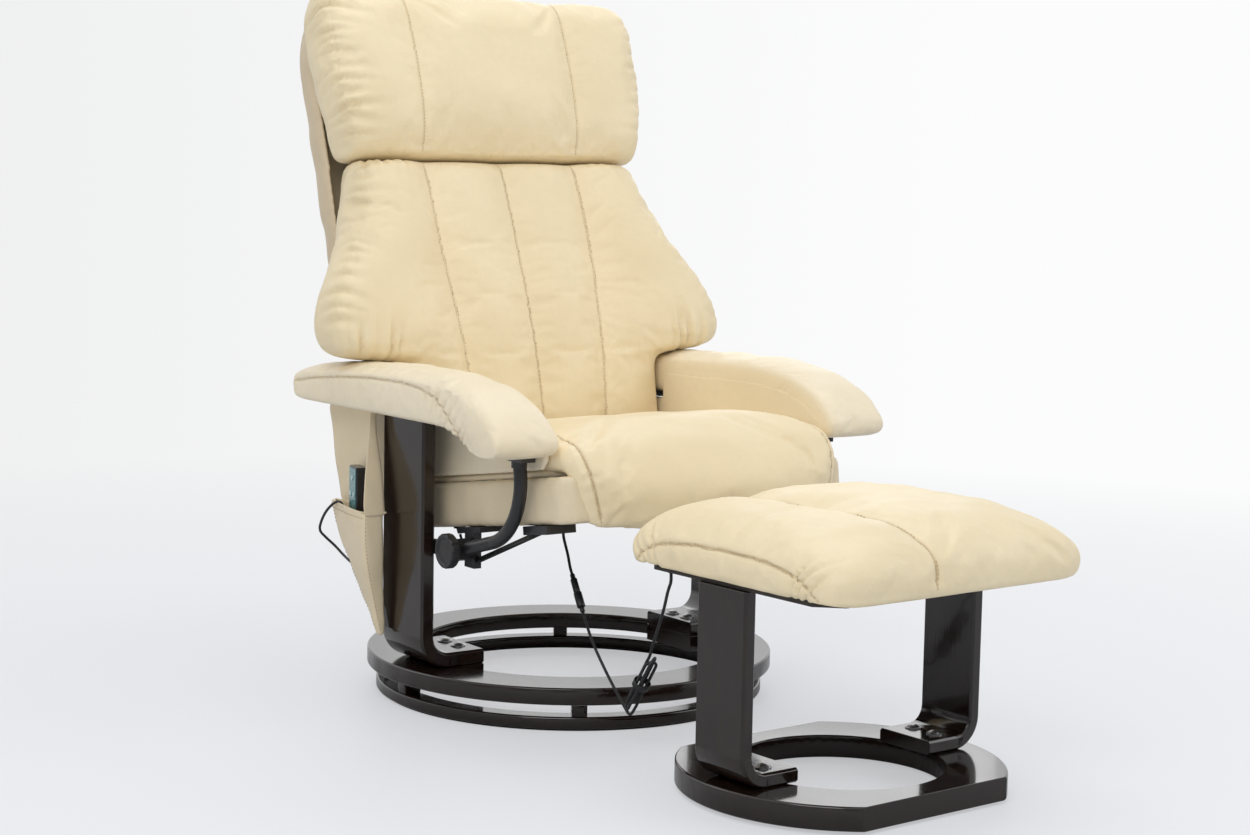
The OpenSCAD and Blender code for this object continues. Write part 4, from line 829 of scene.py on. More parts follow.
class Studio:
    """Camera, lamps, world and the pale sweep that the chair stands on."""

    place = (-1.916151, -2.819232, 0.788678)
    right = (0.81475908, -0.57948776, 0.01901511)
    up = (0.04726839, 0.09907464, 0.9939567)
    back = (-0.57786966, -0.80893643, 0.10811341)
    lens = 64.60345

    def camera(self) -> None:
        """Sets the camera at the photograph's place."""
        data = bpy.data.cameras.new("camera")
        data.lens, data.sensor_width = self.lens, 36
        data.clip_start, data.clip_end = 0.05, 60
        camera = bpy.data.objects.new("camera", data)
        columns = Matrix((self.right, self.up, self.back)).transposed()
        camera.matrix_world = Matrix.Translation(self.place) @ columns.to_4x4()
        bpy.context.scene.collection.objects.link(camera)
        bpy.context.scene.camera = camera

    def lamp(self, name: str, place: Triple, size: float, watts: float, colour: Triple = (1, 1, 1)) -> None:
        """Adds a square lamp that points at the chair."""
        data = bpy.data.lights.new(name, "AREA")
        data.shape, data.size, data.energy, data.color = "SQUARE", size, watts, colour
        lamp = bpy.data.objects.new(name, data)
        lamp.location = place
        lamp.rotation_mode = "QUATERNION"
        lamp.rotation_quaternion = (Vector((0, -0.1, 0.5)) - Vector(place)).to_track_quat("-Z", "Y")
        bpy.context.scene.collection.objects.link(lamp)

    def lights(self) -> None:
        """Adds the lamps and the world."""
        self.lamp("key", (-2.3, -2.1, 2.7), 1.9, 41)
        self.lamp("right_fill", (2.5, -2.3, 1.7), 2.0, 23, (0.97, 0.985, 1))
        self.lamp("top", (0.2, 0.3, 3.4), 2.4, 32)
        self.lamp("back_left", (-2.4, 2.4, 2.4), 1.6, 6)
        self.lamp("back_right", (2.2, 2.6, 2.0), 2.0, 12)
        bpy.context.scene.view_settings.view_transform = "Standard"
        world = bpy.data.worlds.new("studio")
        bpy.context.scene.world = world
        world.use_nodes = True
        t = Tree(world.node_tree)
        glow = t.tree.nodes["Background"]
        glow.inputs["Color"].default_value = (0.97, 0.985, 1, 1)
        path = t.node("LightPath").outputs
        seen = t.calc("MAXIMUM", path["Is Camera Ray"], path["Is Glossy Ray"])
        seen = t.calc("MAXIMUM", seen, path["Is Transmission Ray"])
        t.join(t.ramp(seen, 0, 1, 0.42), glow.inputs["Strength"])

    def floor_material(self) -> bpy.types.Material:
        """The floor's material: lit near the chair, where camera rays also see half of it glowing, and a
        glowing pale backdrop further off.
        """
        s = Shader("studio_floor")
        s.set(Roughness=0.55, Specular_IOR_Level=0.25)
        far = s.ramp(s.calc("LENGTH", s.where, kind="VectorMath"), 0.75, 2.9)
        side = s.calc("DOT_PRODUCT", s.where, (0.815, -0.58, 0), kind="VectorMath")
        behind = s.calc("DOT_PRODUCT", s.where, (0.58, 0.81, 0), kind="VectorMath")
        slope = s.calc("DIVIDE", side, s.ramp(behind, -2.4, 9.6, 1, 13))
        # The backdrop's glow is painted brighter towards the right and darker towards the left.
        wall = s.shade((0.87, 0.874, 0.874), (0.972, 0.974, 0.974), s.ramp(slope, -0.27, 0.16))
        # The floor's own colour is darker and bluer near the chair.
        s.join(s.shade((0.82, 0.835, 0.875), (0.93, 0.935, 0.945), far), s.bsdf.inputs["Base Color"])
        glow = s.node("Emission", Strength=1.0)
        s.join(s.shade((0.885, 0.893, 0.92), wall, far), glow.inputs["Color"])
        path = s.node("LightPath").outputs
        seen = s.calc("MAXIMUM", path["Is Camera Ray"], path["Is Transmission Ray"])
        part = s.calc("MULTIPLY", seen, s.ramp(far, 0, 1, 0.52))
        # Painted reflection: glossy rays see the floor behind the chair glowing, a bright band for the
        # lacquer to reflect.
        painted_reflection = s.calc("MULTIPLY", path["Is Glossy Ray"], s.ramp(behind, 0.6, 2.8))
        lit = s.blend(s.bsdf.outputs[0], glow.outputs[0], s.calc("MAXIMUM", part, painted_reflection))
        # Painted shade: glossy rays see the rest of the floor up to a quarter darker.
        painted_shade = s.ramp(s.calc("SUBTRACT", path["Is Glossy Ray"], painted_reflection), 0, 1, 0, 0.25)
        s.join(s.blend(lit, None, painted_shade), s.tree.nodes["Material Output"].inputs["Surface"])
        return s.material

    def sweep(self) -> None:
        """Makes the floor, a wide bowl with a rim that rises all round."""
        sides = 96
        rows = ((0.8, 0), (1.6, 0), (2.6, 0), (4.2, 0), (6, 0), (7.2, 0.12), (8.4, 0.5), (9.4, 1.2),
                (10.1, 2.2), (10.5, 3.6))
        points = [np.zeros(3)]
        for r, z in rows:
            points += circle(np.array([0, 0, z]), np.array([1, 0, 0]), np.array([0, 1, 0]), r, sides)
        faces = [(0, 1 + k, 1 + (k + 1) % sides) for k in range(sides)]
        faces += [face[::-1] for face in quads(len(rows), sides, 1)]
        floor = mesh_object("studio_floor", points, faces)
        smooth_faces(floor)
        floor.data.materials.append(self.floor_material())


# The cords


def smooth_curve(points: np.ndarray, steps: list[int]) -> np.ndarray:
    """The same smooth curve through points as the CAD solid follows, in more steps."""
    p = np.vstack([2 * points[0] - points[1], points, 2 * points[-1] - points[-2]])
    rows = []
    for i, count in enumerate(steps):
        a, b, c, d = p[i:i + 4]
        for k in range(count):
            u = k / count
            rows.append(0.5 * (2 * b + (c - a) * u + (2 * a - 5 * b + 4 * c - d) * u * u
                               + (3 * b - a - 3 * c + d) * u ** 3))
    rows.append(points[-1])
    return np.array(rows)


def unit(v: np.ndarray) -> np.ndarray:
    """The direction of a vector."""
    return v / np.linalg.norm(v)


def length_of(path: np.ndarray) -> float:
    """Length of a row of points."""
    return float(np.linalg.norm(np.diff(path, axis=0), axis=1).sum())


@dataclass
class Leads:
    """The handset's lead, the seat's lead with its connector, and the footstool's lead."""

    hand_r: float = 2.0
    lead_r: float = 2.1
    joint_at: Triple = (-301.5, 104, 192)
    plug_top: Triple = (-115, -174, 211)
    plug_low: Triple = (-120, -210, 163)
    hank_low: Triple = (-150, -378, 70)
    hank_r: float = 8.5
    hank_len: float = 65.6
    fold_step: float = 6
    turns: tuple[float, ...] = (60, 240, 105, 285, 172)
    gland_drop: float = 11
    seat_down: np.ndarray = field(default_factory=lambda: np.array(
        [0, -math.sin(math.radians(SEAT_TILT)), -math.cos(math.radians(SEAT_TILT))]))

    def under_seat(self, x: float, y: float) -> np.ndarray:
        """A cord gland's lower end, from its place on the seat box."""
        c, n = math.cos(math.radians(SEAT_TILT)), math.sin(math.radians(SEAT_TILT))
        drop = self.gland_drop
        return np.array([x, SEAT_AT[1] + y * c - drop * n, SEAT_AT[2] - y * n - drop * c])

    def curve(self, points: list, pace: float) -> np.ndarray:
        """Follows the CAD cord's own steps, each cut in three."""
        p = np.array(points, float)
        steps = [3 * max(1, round(float(np.linalg.norm(b - a)) / pace)) for a, b in zip(p[:-1], p[1:])]
        return smooth_curve(p, steps)

    def upper(self) -> np.ndarray:
        """From the handset over the pocket's mouth to the back of the pouch."""
        return self.curve([(-320.5, 92, 218), (-320.5, 93, 211), (-320, 98, 205.5), (-319, 106, 204.5),
                           (-318, 113, 208), (-317, 117.5, 217), (-318, 119, 232), (-320, 124, 256),
                           (-322, 129, 276), (-325, 132, 287.5), (-329.5, 135, 292), (-336, 140, 289),
                           (-343, 150, 276), (-344, 164, 258), (-338, 178, 243), (-323, 188, 230),
                           (-308, 187, 216), (-301.5, 170, 203), (-301.5, 138, 194), self.joint_at], 9)

    def lower(self) -> np.ndarray:
        """From the back of the pouch to the seat's gland."""
        end = self.under_seat(-214, -70)
        return self.curve([self.joint_at, (-301.5, 84, 194), (-298, 70, 202), (-286, 66, 216),
                           (-266, 60, 230), (-242, 44, 238), (-221, 8, 237), end + 15 * self.seat_down,
                           end + 0.9 * self.seat_down], 9)

    def seat(self) -> np.ndarray:
        """From the seat's gland down to the connector."""
        end, top, low = self.under_seat(-110, -187.5), np.array(self.plug_top), np.array(self.plug_low)
        return self.curve([end + 0.9 * self.seat_down, end + 15 * self.seat_down, (-111, -156, 237),
                           top - 12 * unit(low - top), top], 9)

    def stool_end(self) -> np.ndarray:
        """The footstool gland's lower end."""
        c, n = math.cos(math.radians(STOOL_TURN)), math.sin(math.radians(STOOL_TURN))
        x, y = -162, 157
        return np.array([STOOL_AT[0] + c * x - n * y, STOOL_AT[1] + n * x + c * y, 275])

    def stool(self) -> np.ndarray:
        """From the connector through the tied hank to the footstool."""
        axis = unit(np.array([3, -54, 83.0]))
        side = unit(np.cross(axis, (-1, -0.4, 0)))
        face = np.cross(axis, side)

        def spot(k: int, along: float) -> np.ndarray:
            """Point of one of the hank's runs."""
            a = math.radians(self.turns[k])
            ring = self.hank_r * (math.cos(a) * side + math.sin(a) * face)
            return np.array(self.hank_low) + ring + along * axis

        def fold(k: int) -> float:
            """Where a fold stands along the hank."""
            return self.hank_len + k * self.fold_step / 2 if k % 2 == 0 else -(k - 1) * self.fold_step / 2

        top, low = np.array(self.plug_top), np.array(self.plug_low)
        start, end, gland = spot(0, 0), spot(4, self.hank_len), self.stool_end()
        first = self.curve([low, low + 12 * unit(low - top), (-126, -246, 124), (-130, -290, 86),
                            (-137, -342, 52), start - 24 * axis + (0.5, 4.5, -1), start - 11 * axis,
                            start - 4 * axis, start], 10)
        last = self.curve([end, end + 14 * axis, end + 30 * axis + (-2, 0, 4), (-176, -478, 214),
                           (gland[0] + 2, gland[1] + 9, 248), gland - (0, 0, 12), gland], 10)
        rows = list(first[:-1])
        steps, bends, final = 18, 24, len(self.turns) - 1
        for k in range(final + 1):
            begin = 0 if k == 0 else fold(k - 1)
            stop = self.hank_len if k == final else fold(k)
            rows += [spot(k, mix(begin, stop, j / steps)) for j in range(steps + (k < final))]
            if k < final:
                a, b = spot(k, fold(k)), spot(k + 1, fold(k))
                c, r = (a + b) / 2, float(np.linalg.norm(b - a)) / 2
                out = axis if k % 2 == 0 else -axis
                for angle in [j * math.pi / bends for j in range(1, bends)]:
                    rows.append(c + (a - c) * math.cos(angle) + r * out * math.sin(angle))
        return np.array(rows + list(last))

    def one(self, name: str, path: np.ndarray, radius: float) -> None:
        """Args:
            name: the CAD node that it replaces.
            path: its centre line in millimetres.
            radius: in millimetres.
        """
        line = path * MM
        obj = tube(name + "_sheath", line, radius * MM, 18)
        obj.data.materials.append(finished(SHEATH))
        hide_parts(name)
        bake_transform(obj)
        LOG.info("%s: %.0f mm long", name, length_of(line) / MM)

    def build(self) -> None:
        """Makes the four leads."""
        upper, lower, seat, stool = self.upper(), self.lower(), self.seat(), self.stool()
        self.one("remote_lead_upper", upper, self.hand_r)
        self.one("remote_lead_lower", lower, self.hand_r)
        self.one("seat_lead", seat, self.lead_r)
        self.one("stool_lead", stool, self.lead_r)


# Soft pieces


@dataclass
class Cushion:
    """A sewn cover over foam: its skin, even mesh, cloth swell, seams and gathers."""

    name: str
    nodes: tuple[str, ...]
    body: Body
    finish: Leather
    place: Matrix
    voxel: float = 0.006
    cap: float = 0.008
    slack: float = 0.01
    fill: float = 0.8
    blown: bool = True
    seed: int = 3
    ripple: float = 0.0007
    wave: float = 0.07
    sewn: float = 0.007

    def rings(self) -> list[Ring]:
        """The rows of points of the skin, in millimetres."""
        raise NotImplementedError

    def seams(self, surface: Surface) -> list[Seam]:
        """The sewn seams on a surface."""
        return []

    def gathers(self, surface: Surface) -> list[Gather]:
        """The gathered edges on a surface."""
        return []

    def resting(self, local: np.ndarray) -> np.ndarray:
        """1 at the points that lie on something, from their places in the local frame."""
        return np.zeros(len(local))

    def local(self, obj: Piece) -> np.ndarray:
        """The mesh's points in the local frame, in millimetres."""
        inverse = np.array(self.place.inverted())
        return (coords(obj) @ inverse[:3, :3].T + inverse[:3, 3]) / MM

    def finishing(self, obj: Piece) -> None:
        """Adds what only this cushion has."""

    def skin(self) -> Piece:
        """The form before it is filled."""
        return ring_skin(self.name, self.rings(), self.place)

    def build(self) -> Piece:
        """Makes the cushion and its stitches."""
        obj = self.skin()
        remesh(obj, self.voxel)
        held = self.resting(self.local(obj))
        for seam in self.seams(Surface(obj, self.place)):
            near = Near.of(obj, seam.path, 2 * self.sewn)
            held[near.rows] = np.maximum(held[near.rows], np.exp(-(near.far / self.sewn) ** 2))
        swell(obj, np.clip(held, 0, 1), self.cap, self.slack, self.blown)
        subdivide(obj)
        undulate(obj, self.ripple, self.wave, self.seed, 1 - self.resting(self.local(obj)))
        surface = Surface(obj, self.place)
        for gather in self.gathers(surface):
            gather.press(obj)
        seams = self.seams(surface)
        for seam in seams:
            seam.press(obj)
        self.finishing(obj)
        smooth_faces(obj)
        dress(obj, self.finish, self.body, *self.nodes)
        if seams:
            # Pieces in the darker rear leather, painted shade, get the darker thread.
            thread = THREAD_REAR_SHADED if self.finish.slot == "rear_leather" else THREAD
            stitches(self.name + "_stitches", obj, [seam.path for seam in seams], thread, self.body)
        return obj


def drawn_in(top: Ring, low: Ring, k: float) -> Ring:
    """A ring from an upper and a lower run, drawn together by a share."""

    def between(p: tuple, q: tuple, share: float) -> tuple:
        """The point at a share of the way."""
        return tuple(mix(a, b, share) for a, b in zip(p, q))

    return ([between(p, q, k / 2) for p, q in zip(top, low)]
            + [between(q, p, k / 2) for p, q in zip(top, low)][::-1])


@dataclass
class SeatCushion(Cushion):
    """The seat's cushion, whose front rolls down over the seat box."""

    long: float = 432
    half: float = 253
    top: tuple = ((0.008, 0.8), (0.022, 0.9), (0.06, 0.97), (0.15, 1), (0.28, 1.01), (0.42, 1),
                  (0.56, 0.99), (0.7, 0.96), (0.81, 0.9), (0.89, 0.79), (0.945, 0.6), (0.98, 0.3),
                  (1, -0.1), (0.998, -0.6), (0.985, -1.08), (0.965, -1.38))
    low: tuple = ((0.004, 0.35), (0.012, 0.1), (0.05, 0), (0.15, 0), (0.28, 0), (0.42, 0), (0.56, 0),
                  (0.68, 0), (0.76, 0), (0.82, 0), (0.86, 0), (0.888, 0), (0.892, -0.3), (0.9, -0.7),
                  (0.912, -1.1), (0.935, -1.36))
    edge: tuple = ((1, 0.62), (0.985, 0.4), (0.94, 0.16), (0.85, 0.04), (0.65, 0), (0.33, 0))
    corner: tuple = ((214, 122), (220, 92), (214, 59), (207, 34), (201, 12), (196, -2))
    base: float = 65.9
    thick: float = 66

    def point(self, p: Pair, i: int, xs: float, k: float, crown: float) -> Triple:
        """One point of the skin.

        Args:
            p: its shares of the length and of the thickness.
            i: its number from the rear.
            xs: its row's share of the half-width.
            k: its row's share of the drawing in.
            crown: how far the middle rises.

        Returns:
            The point in millimetres.
        """
        front = max(0.0, (p[0] - 0.72) / 0.28)
        half = self.half - 14 * (1 - min(1.0, max(0.0, (i - 9) / 3)))
        y = -p[0] * self.long + front * k * 40
        lift = max(0.0, -p[1]) * xs * xs * 14
        fall = max(0, i - 9) / 6
        return (xs * half * (1 - 0.17 * fall), min(y, -383) if i > 10 else y,
                self.base + p[1] * self.thick + lift + crown)

    def rings(self) -> list[Ring]:
        """Rows across the seat, from the left to the right."""
        rows = []
        for xs, k in [(-x, k) for x, k in self.edge] + [(0, 0)] + list(self.edge)[::-1]:
            crown = 6 * (1 - xs * xs)
            top = [self.point(p, i, xs, k, crown if i < 9 else 0) for i, p in enumerate(self.top)]
            low = [self.point(p, i, xs, k, 0) for i, p in enumerate(self.low)]
            rows.append(drawn_in(top, low, k))
        return rows

    def resting(self, local: np.ndarray) -> np.ndarray:
        """The underside lies on the box, and the sides stay between the arms."""
        under = np.clip((76 - local[:, 2]) / 8, 0, 1) * (local[:, 1] > -388)
        sides = np.clip((np.abs(local[:, 0]) - 222) / 10, 0, 1) * (local[:, 1] > -380)
        skirt = ((local[:, 2] < 66) & (local[:, 1] > -402)).astype(float)
        return np.maximum(np.maximum(under, sides), skirt)

    def seams(self, surface: Surface) -> list[Seam]:
        """The seams between the front and the sides."""
        return [Seam(surface.front([(s * x, z) for x, z in self.corner]), 0.0019, 0.011) for s in (-1, 1)]

    def gathers(self, surface: Surface) -> list[Gather]:
        """Puckers along those seams, and along the lower edge."""
        rows = [Gather(seam.path, 0.019, 0.0014, 0.026, seed=41 + i)
                for i, seam in enumerate(self.seams(surface))]
        low = surface.front([(-185, 6), (0, -6), (185, 6)])
        return rows + [Gather(low, 0.04, 0.0014, 0.04, seed=47, painted_shade=0.0)]


@dataclass
class BackCushion(Cushion):
    """The winged back cushion with its three upright seams."""

    rows: tuple = ((-70, 215, 45, 50, 0, 80), (-56, 226, 30, 36, 0, 84), (-30, 234, 17, 22, 0, 84),
                   (10, 234, 2, 8, 0, 84), (60, 234, -5, 0, 0.2, 84), (100, 234, -8, -8, 0.7, 84),
                   (116, 234, -9, -16, 1, 80), (118, 285, -9, -20, 1, 74), (123, 323, -9, -28, 1, 70),
                   (133, 351, -10, -34, 1, 66), (156, 362, -11, -38, 0.9, 62),
                   (200, 357, -11, -40, 0.7, 62), (240, 338, -10, -39, 0.4, 66),
                   (290, 310, -7, -32, 0.2, 72), (340, 286, -5, -22, 0, 78), (390, 269, -2, -12, 0, 82),
                   (422, 260, 1, -4, 0, 84), (445.7, 254, 9, 8, 0, 84))
    inner: tuple = (0, 0.1, 0.5, 0.9, 1)
    outer: tuple = (0.06, 0.3, 0.55, 0.75, 0.9, 0.97, 1)
    pinch: tuple = (0, 0, 0, 0.02, 0.12, 0.3, 0.62)
    rear: float = 84
    slope: float = 0.344

    @staticmethod
    def seam_x(s: float) -> float:
        """How far the side seams stand from the middle."""
        return mix(118, 138, min(1.0, max(0.0, s / 280)))

    def half(self, s: float) -> float:
        """Half the width at a height."""
        return table_value([(r[0], r[1]) for r in self.rows], s)

    def point(self, r: tuple, side: int, out: bool, k: int, front: bool) -> Triple:
        """One point of the skin.

        Args:
            r: the row that it is in.
            side: -1 or 1.
            out: whether it lies outside the side seam.
            k: its number, from the middle or from the side seam.
            front: whether it is on the front.

        Returns:
            The point in millimetres.
        """
        a = self.seam_x(r[0])
        if out:
            w, share = self.outer[k], ease(self.outer[k])
            bulge = 11 * math.sin(math.pi * min(1, w * 1.05)) * min(1, max(0, (r[0] - 20) / 120))
            x, pinch = a + (r[1] - a) * w, self.pinch[k] / 2
            near, far = mix(r[2], r[3], share) - bulge, mix(self.rear, r[5], share)
        else:
            x, pinch = a * self.inner[k], 0
            near, far = r[2] + (6 if k in (0, 4) else (-4 if k == 2 else 0)), self.rear
        t = mix(near, far, pinch) if front else mix(far, near, pinch)
        return (side * x, t, r[0] + r[4] * self.slope * max(0.0, t))

    def run(self, r: tuple, front: bool) -> Ring:
        """One row of points across the back."""
        return ([self.point(r, 1, True, k, front) for k in range(6, -1, -1)]
                + [self.point(r, 1, False, k, front) for k in range(4, -1, -1)]
                + [self.point(r, -1, False, k, front) for k in range(1, 5)]
                + [self.point(r, -1, True, k, front) for k in range(7)])

    def rings(self) -> list[Ring]:
        """Rows up the back."""
        return [self.run(r, False) + self.run(r, True)[::-1] for r in self.rows]

    def resting(self, local: np.ndarray) -> np.ndarray:
        """The rear lies in the shell, and the waist stays between the arms."""
        rear = np.clip((local[:, 1] - 74) / 8, 0, 1)
        waist = np.clip((np.abs(local[:, 0]) - 216) / 12, 0, 1) * (local[:, 2] < 128)
        ledge = np.clip((136 - local[:, 2]) / 8, 0, 1) * (np.abs(local[:, 0]) > 226)
        crown = np.clip((local[:, 2] - 432) / 8, 0, 1)
        foot = np.clip((-54 - local[:, 2]) / 10, 0, 1)
        return np.maximum.reduce([rear, waist, ledge, crown, foot])

    def seams(self, surface: Surface) -> list[Seam]:
        """The middle seam and the two beside it."""
        beside = [surface.front([(s * self.seam_x(z), z) for z in range(-62, 441, 20)]) for s in (-1, 1)]
        middle = surface.front([(0, -62), (0, 200), (0, 441)])
        return [Seam(path, 0.004, 0.018, **FINE) for path in beside] + [Seam(middle, 0.0025, 0.015, **FINE)]

    def gathers(self, surface: Surface) -> list[Gather]:
        """Puckers along the wings' edges, under them and under the headrest."""
        made = []
        for i, side in enumerate((-1, 1)):
            strong = 1.0 if side < 0 else 0.3
            edge = surface.front([(side * (self.half(z) - 9), z) for z in range(150, 330, 10)])
            neck = surface.front([(side * (self.half(z) - 8), z) for z in range(320, 441, 10)])
            under = surface.front([(side * x, 137 + (x - 240) * 0.06) for x in range(240, 352, 8)])
            crown = surface.front([(side * x, 437) for x in range(158, 262, 8)])
            made += [Gather(edge, 0.021, 0.0065 * strong, 0.042, -0.15, 11 + i),
                     Gather(neck, 0.024, 0.005 * strong, 0.04, 0.15, 13 + i),
                     Gather(under, 0.02, 0.0065, 0.038, 0, 15 + i, 0.3),
                     Gather(crown, 0.021, 0.004 * strong, 0.04, 0, 17 + i)]
        return made


@dataclass
class Headrest(Cushion):
    """The thick headrest roll over the top of the back."""

    low: float = 446
    front: tuple = ((76, 270, 0.86), (50, 278, 0.91), (15, 276, 0.945), (-8, 266, 0.965),
                    (-21, 249, 0.985), (-28, 214, 0.995), (-30, 174, 0.99), (-31, 134, 0.98),
                    (-30, 94, 0.965), (-26, 54, 0.945), (-18, 26, 0.925), (-4, 6, 0.91), (14, 0, 0.9))
    rear: tuple = ((79, 262, 0.85), (82, 252, 0.89), (84, 239, 0.93), (84, 224, 0.96), (84, 204, 0.97),
                   (84, 174, 0.97), (84, 134, 0.965), (84, 94, 0.95), (84, 54, 0.935), (84, 24, 0.92),
                   (80, 6, 0.91), (60, 3, 0.91), (38, 1, 0.915))
    inner: tuple = (0, 0.5, 0.945, 1, 1.055)
    outer: tuple = (0.35, 0.65, 0.86, 0.96, 1)
    pinch: tuple = (0, 0, 0, 0, 0, 0, 0, 0.06, 0.26, 0.6)
    seam: float = 143
    wide: float = 295

    def ring(self, side: int, k: int) -> Ring:
        """One upright ring of the roll."""
        def x(share: float) -> float:
            """The ring's place across the roll."""
            edge = self.seam * self.inner[min(k, 4)]
            return side * (edge if k < 5 else mix(edge, share * self.wide, self.outer[k - 5]))

        g = 2.5 if k == 3 else 0
        front = [(x(w), t + (g if t < 0 else 0), self.low + z - (g if t >= 0 and z > 138 else 0))
                 for t, z, w in self.front]
        rear = [(x(w), t, self.low + z) for t, z, w in self.rear]
        return drawn_in(front, rear, self.pinch[k])

    def rings(self) -> list[Ring]:
        """Rings from the left end to the right end."""
        return [self.ring(-1, k) for k in range(9, 0, -1)] + [self.ring(1, k) for k in range(10)]

    def resting(self, local: np.ndarray) -> np.ndarray:
        """The rear lies on the shell and the lower edge on the back cushion."""
        rear = np.clip((local[:, 1] - 76) / 7, 0, 1)
        low = np.clip((self.low + 9 - local[:, 2]) / 7, 0, 1) * (local[:, 1] > 4)
        return np.maximum(rear, low)

    def seams(self, surface: Surface) -> list[Seam]:
        """The two seams that run over the roll."""
        hoops = [surface.hoop(s * self.seam, (30, self.low + 138), (258, 62)) for s in (-1, 1)]
        return [Seam(path, 0.004, 0.02, **FINE) for path in hoops]

    def gathers(self, surface: Surface) -> list[Gather]:
        """Puckers down both ends and along the lower edge."""
        made = []
        shares = sorted((z, w) for t, z, w in self.front)
        for i, side in enumerate((-1, 1)):
            strong = 1.0 if side < 0 else 0.25
            edge = surface.front([(side * (self.wide * table_value(shares, z) - 9), self.low + z)
                                  for z in range(14, 266, 12)])
            made += [Gather(edge, 0.02, 0.0075 * strong, 0.05, -0.25, 21 + i),
                     Gather(edge, 0.012, 0.0025 * strong, 0.026, 0, 23 + i)]
        low = surface.front([(-255, self.low + 9), (0, self.low + 7), (255, self.low + 9)])
        return made + [Gather(low, 0.03, 0.0016, 0.03, seed=29, painted_shade=0.0)]


@dataclass
class Arm(Cushion):
    """An arm pad with a curled nose."""

    long: float = 590
    half: float = 52.5
    thick: float = 66
    curl: float = 34
    top: tuple = ((0, 0.42), (0.003, 0.58), (0.015, 0.68), (0.05, 0.75), (0.14, 0.82), (0.26, 0.91),
                  (0.4, 0.97), (0.54, 1), (0.66, 0.99), (0.76, 0.93), (0.84, 0.8), (0.9, 0.62),
                  (0.95, 0.38), (0.985, 0.1), (1, -0.16))
    low: tuple = ((0.003, 0.2), (0.01, 0.06), (0.03, 0), (0.07, 0), (0.15, 0), (0.27, 0), (0.41, 0),
                  (0.54, 0), (0.66, 0), (0.745, 0), (0.8, -0.22), (0.845, -0.75), (0.885, -1), (0.95, -1),
                  (0.99, -0.8))
    edge: tuple = ((0.6, 0), (0.84, 0.03), (0.95, 0.14), (1, 0.34))
    boxing: tuple = ((0.012, 29), (0.1, 38), (0.25, 47), (0.42, 54), (0.56, 55), (0.66, 51), (0.72, 43),
                     (0.765, 29), (0.805, 8), (0.836, -14), (0.86, -28))

    def rings(self) -> list[Ring]:
        """Rings across the arm."""
        rows = []
        for xs, k in [(-x, k) for x, k in self.edge[::-1]] + [(0, 0)] + list(self.edge):
            x, crown = xs * self.half, 5 * (1 - xs * xs)
            top = [(x, -p * self.long, q * self.thick + crown * q) for p, q in self.top]
            low = [(x, -p * self.long, q * (self.curl if q < 0 else self.thick)) for p, q in self.low]
            rows.append(drawn_in(top, low, k))
        return rows

    def resting(self, local: np.ndarray) -> np.ndarray:
        """The underside is screwed to its plate, and the inner side stays off the seat."""
        under = np.clip((9 - local[:, 2]) / 7, 0, 1) * (local[:, 1] > -455)
        inner = np.clip((-local[:, 0] - 40) / 8, 0, 1)
        nose = ((local[:, 2] < -26) & (local[:, 1] < -440)).astype(float) * 0.7
        return np.maximum.reduce([under, inner, nose])

    def line(self, surface: Surface, side: int, first: float = 0) -> np.ndarray:
        """The boxing seam of one side."""
        return surface.side(side * 300, [(-p * self.long, z) for p, z in self.boxing if p >= first])

    def seams(self, surface: Surface) -> list[Seam]:
        """A seam along the outer side, and the one round the nose on the inner side."""
        return [Seam(self.line(surface, 1), 0.0024, 0.011, 0.0018, 0.0019, 0.5),
                Seam(self.line(surface, -1, 0.74), 0.0016, 0.009, 0.0014, 0.0017, 0.4)]

    def gathers(self, surface: Surface) -> list[Gather]:
        """Puckers where each seam turns down behind the nose."""
        return [Gather(self.line(surface, 1, 0.58), 0.013, 0.0046, 0.036, 0, 31, 0.2),
                Gather(self.line(surface, -1, 0.76), 0.013, 0.0025, 0.025, 0, 33, 0.1),
                Gather(self.line(surface, 1), 0.03, 0.0012, 0.03, 0.1, 37, 0.0)]


@dataclass
class ArmPanel(Cushion):
    """The thin padded board that hangs from an arm beside the seat."""

    faces_at: tuple = (-52.7, -45.8)
    outline: tuple = ((-150, 474), (-215, 466), (-262, 452), (-292, 432), (-300, 418), (-299, 398),
                      (-288, 384.5), (-215, 372.7), (-100, 355.5), (40, 334.6), (58, 331), (66, 322),
                      (72, 304), (84, 294), (120, 288), (150, 287), (172, 298), (184, 322), (191, 360),
                      (193, 400), (190, 426), (182, 429), (98, 429), (95.4, 432), (95.3, 460), (92, 471))

    def skin(self) -> Piece:
        """A board with rounded edges, drawn in the side view."""
        n = len(self.outline)
        points = [Vector((x, y - ARM_AT[1], z - ARM_AT[2])) * MM
                  for x in self.faces_at for y, z in self.outline]
        faces = [tuple(range(n)), tuple(range(2 * n - 1, n - 1, -1))]
        faces += [(k, n + k, n + (k + 1) % n, (k + 1) % n) for k in range(n)]
        obj = mesh_object(self.name, points, faces, self.place)
        outward(obj)
        return obj

    def resting(self, local: np.ndarray) -> np.ndarray:
        """The board keeps its place between the seat and the arm's plate."""
        return np.ones(len(local))


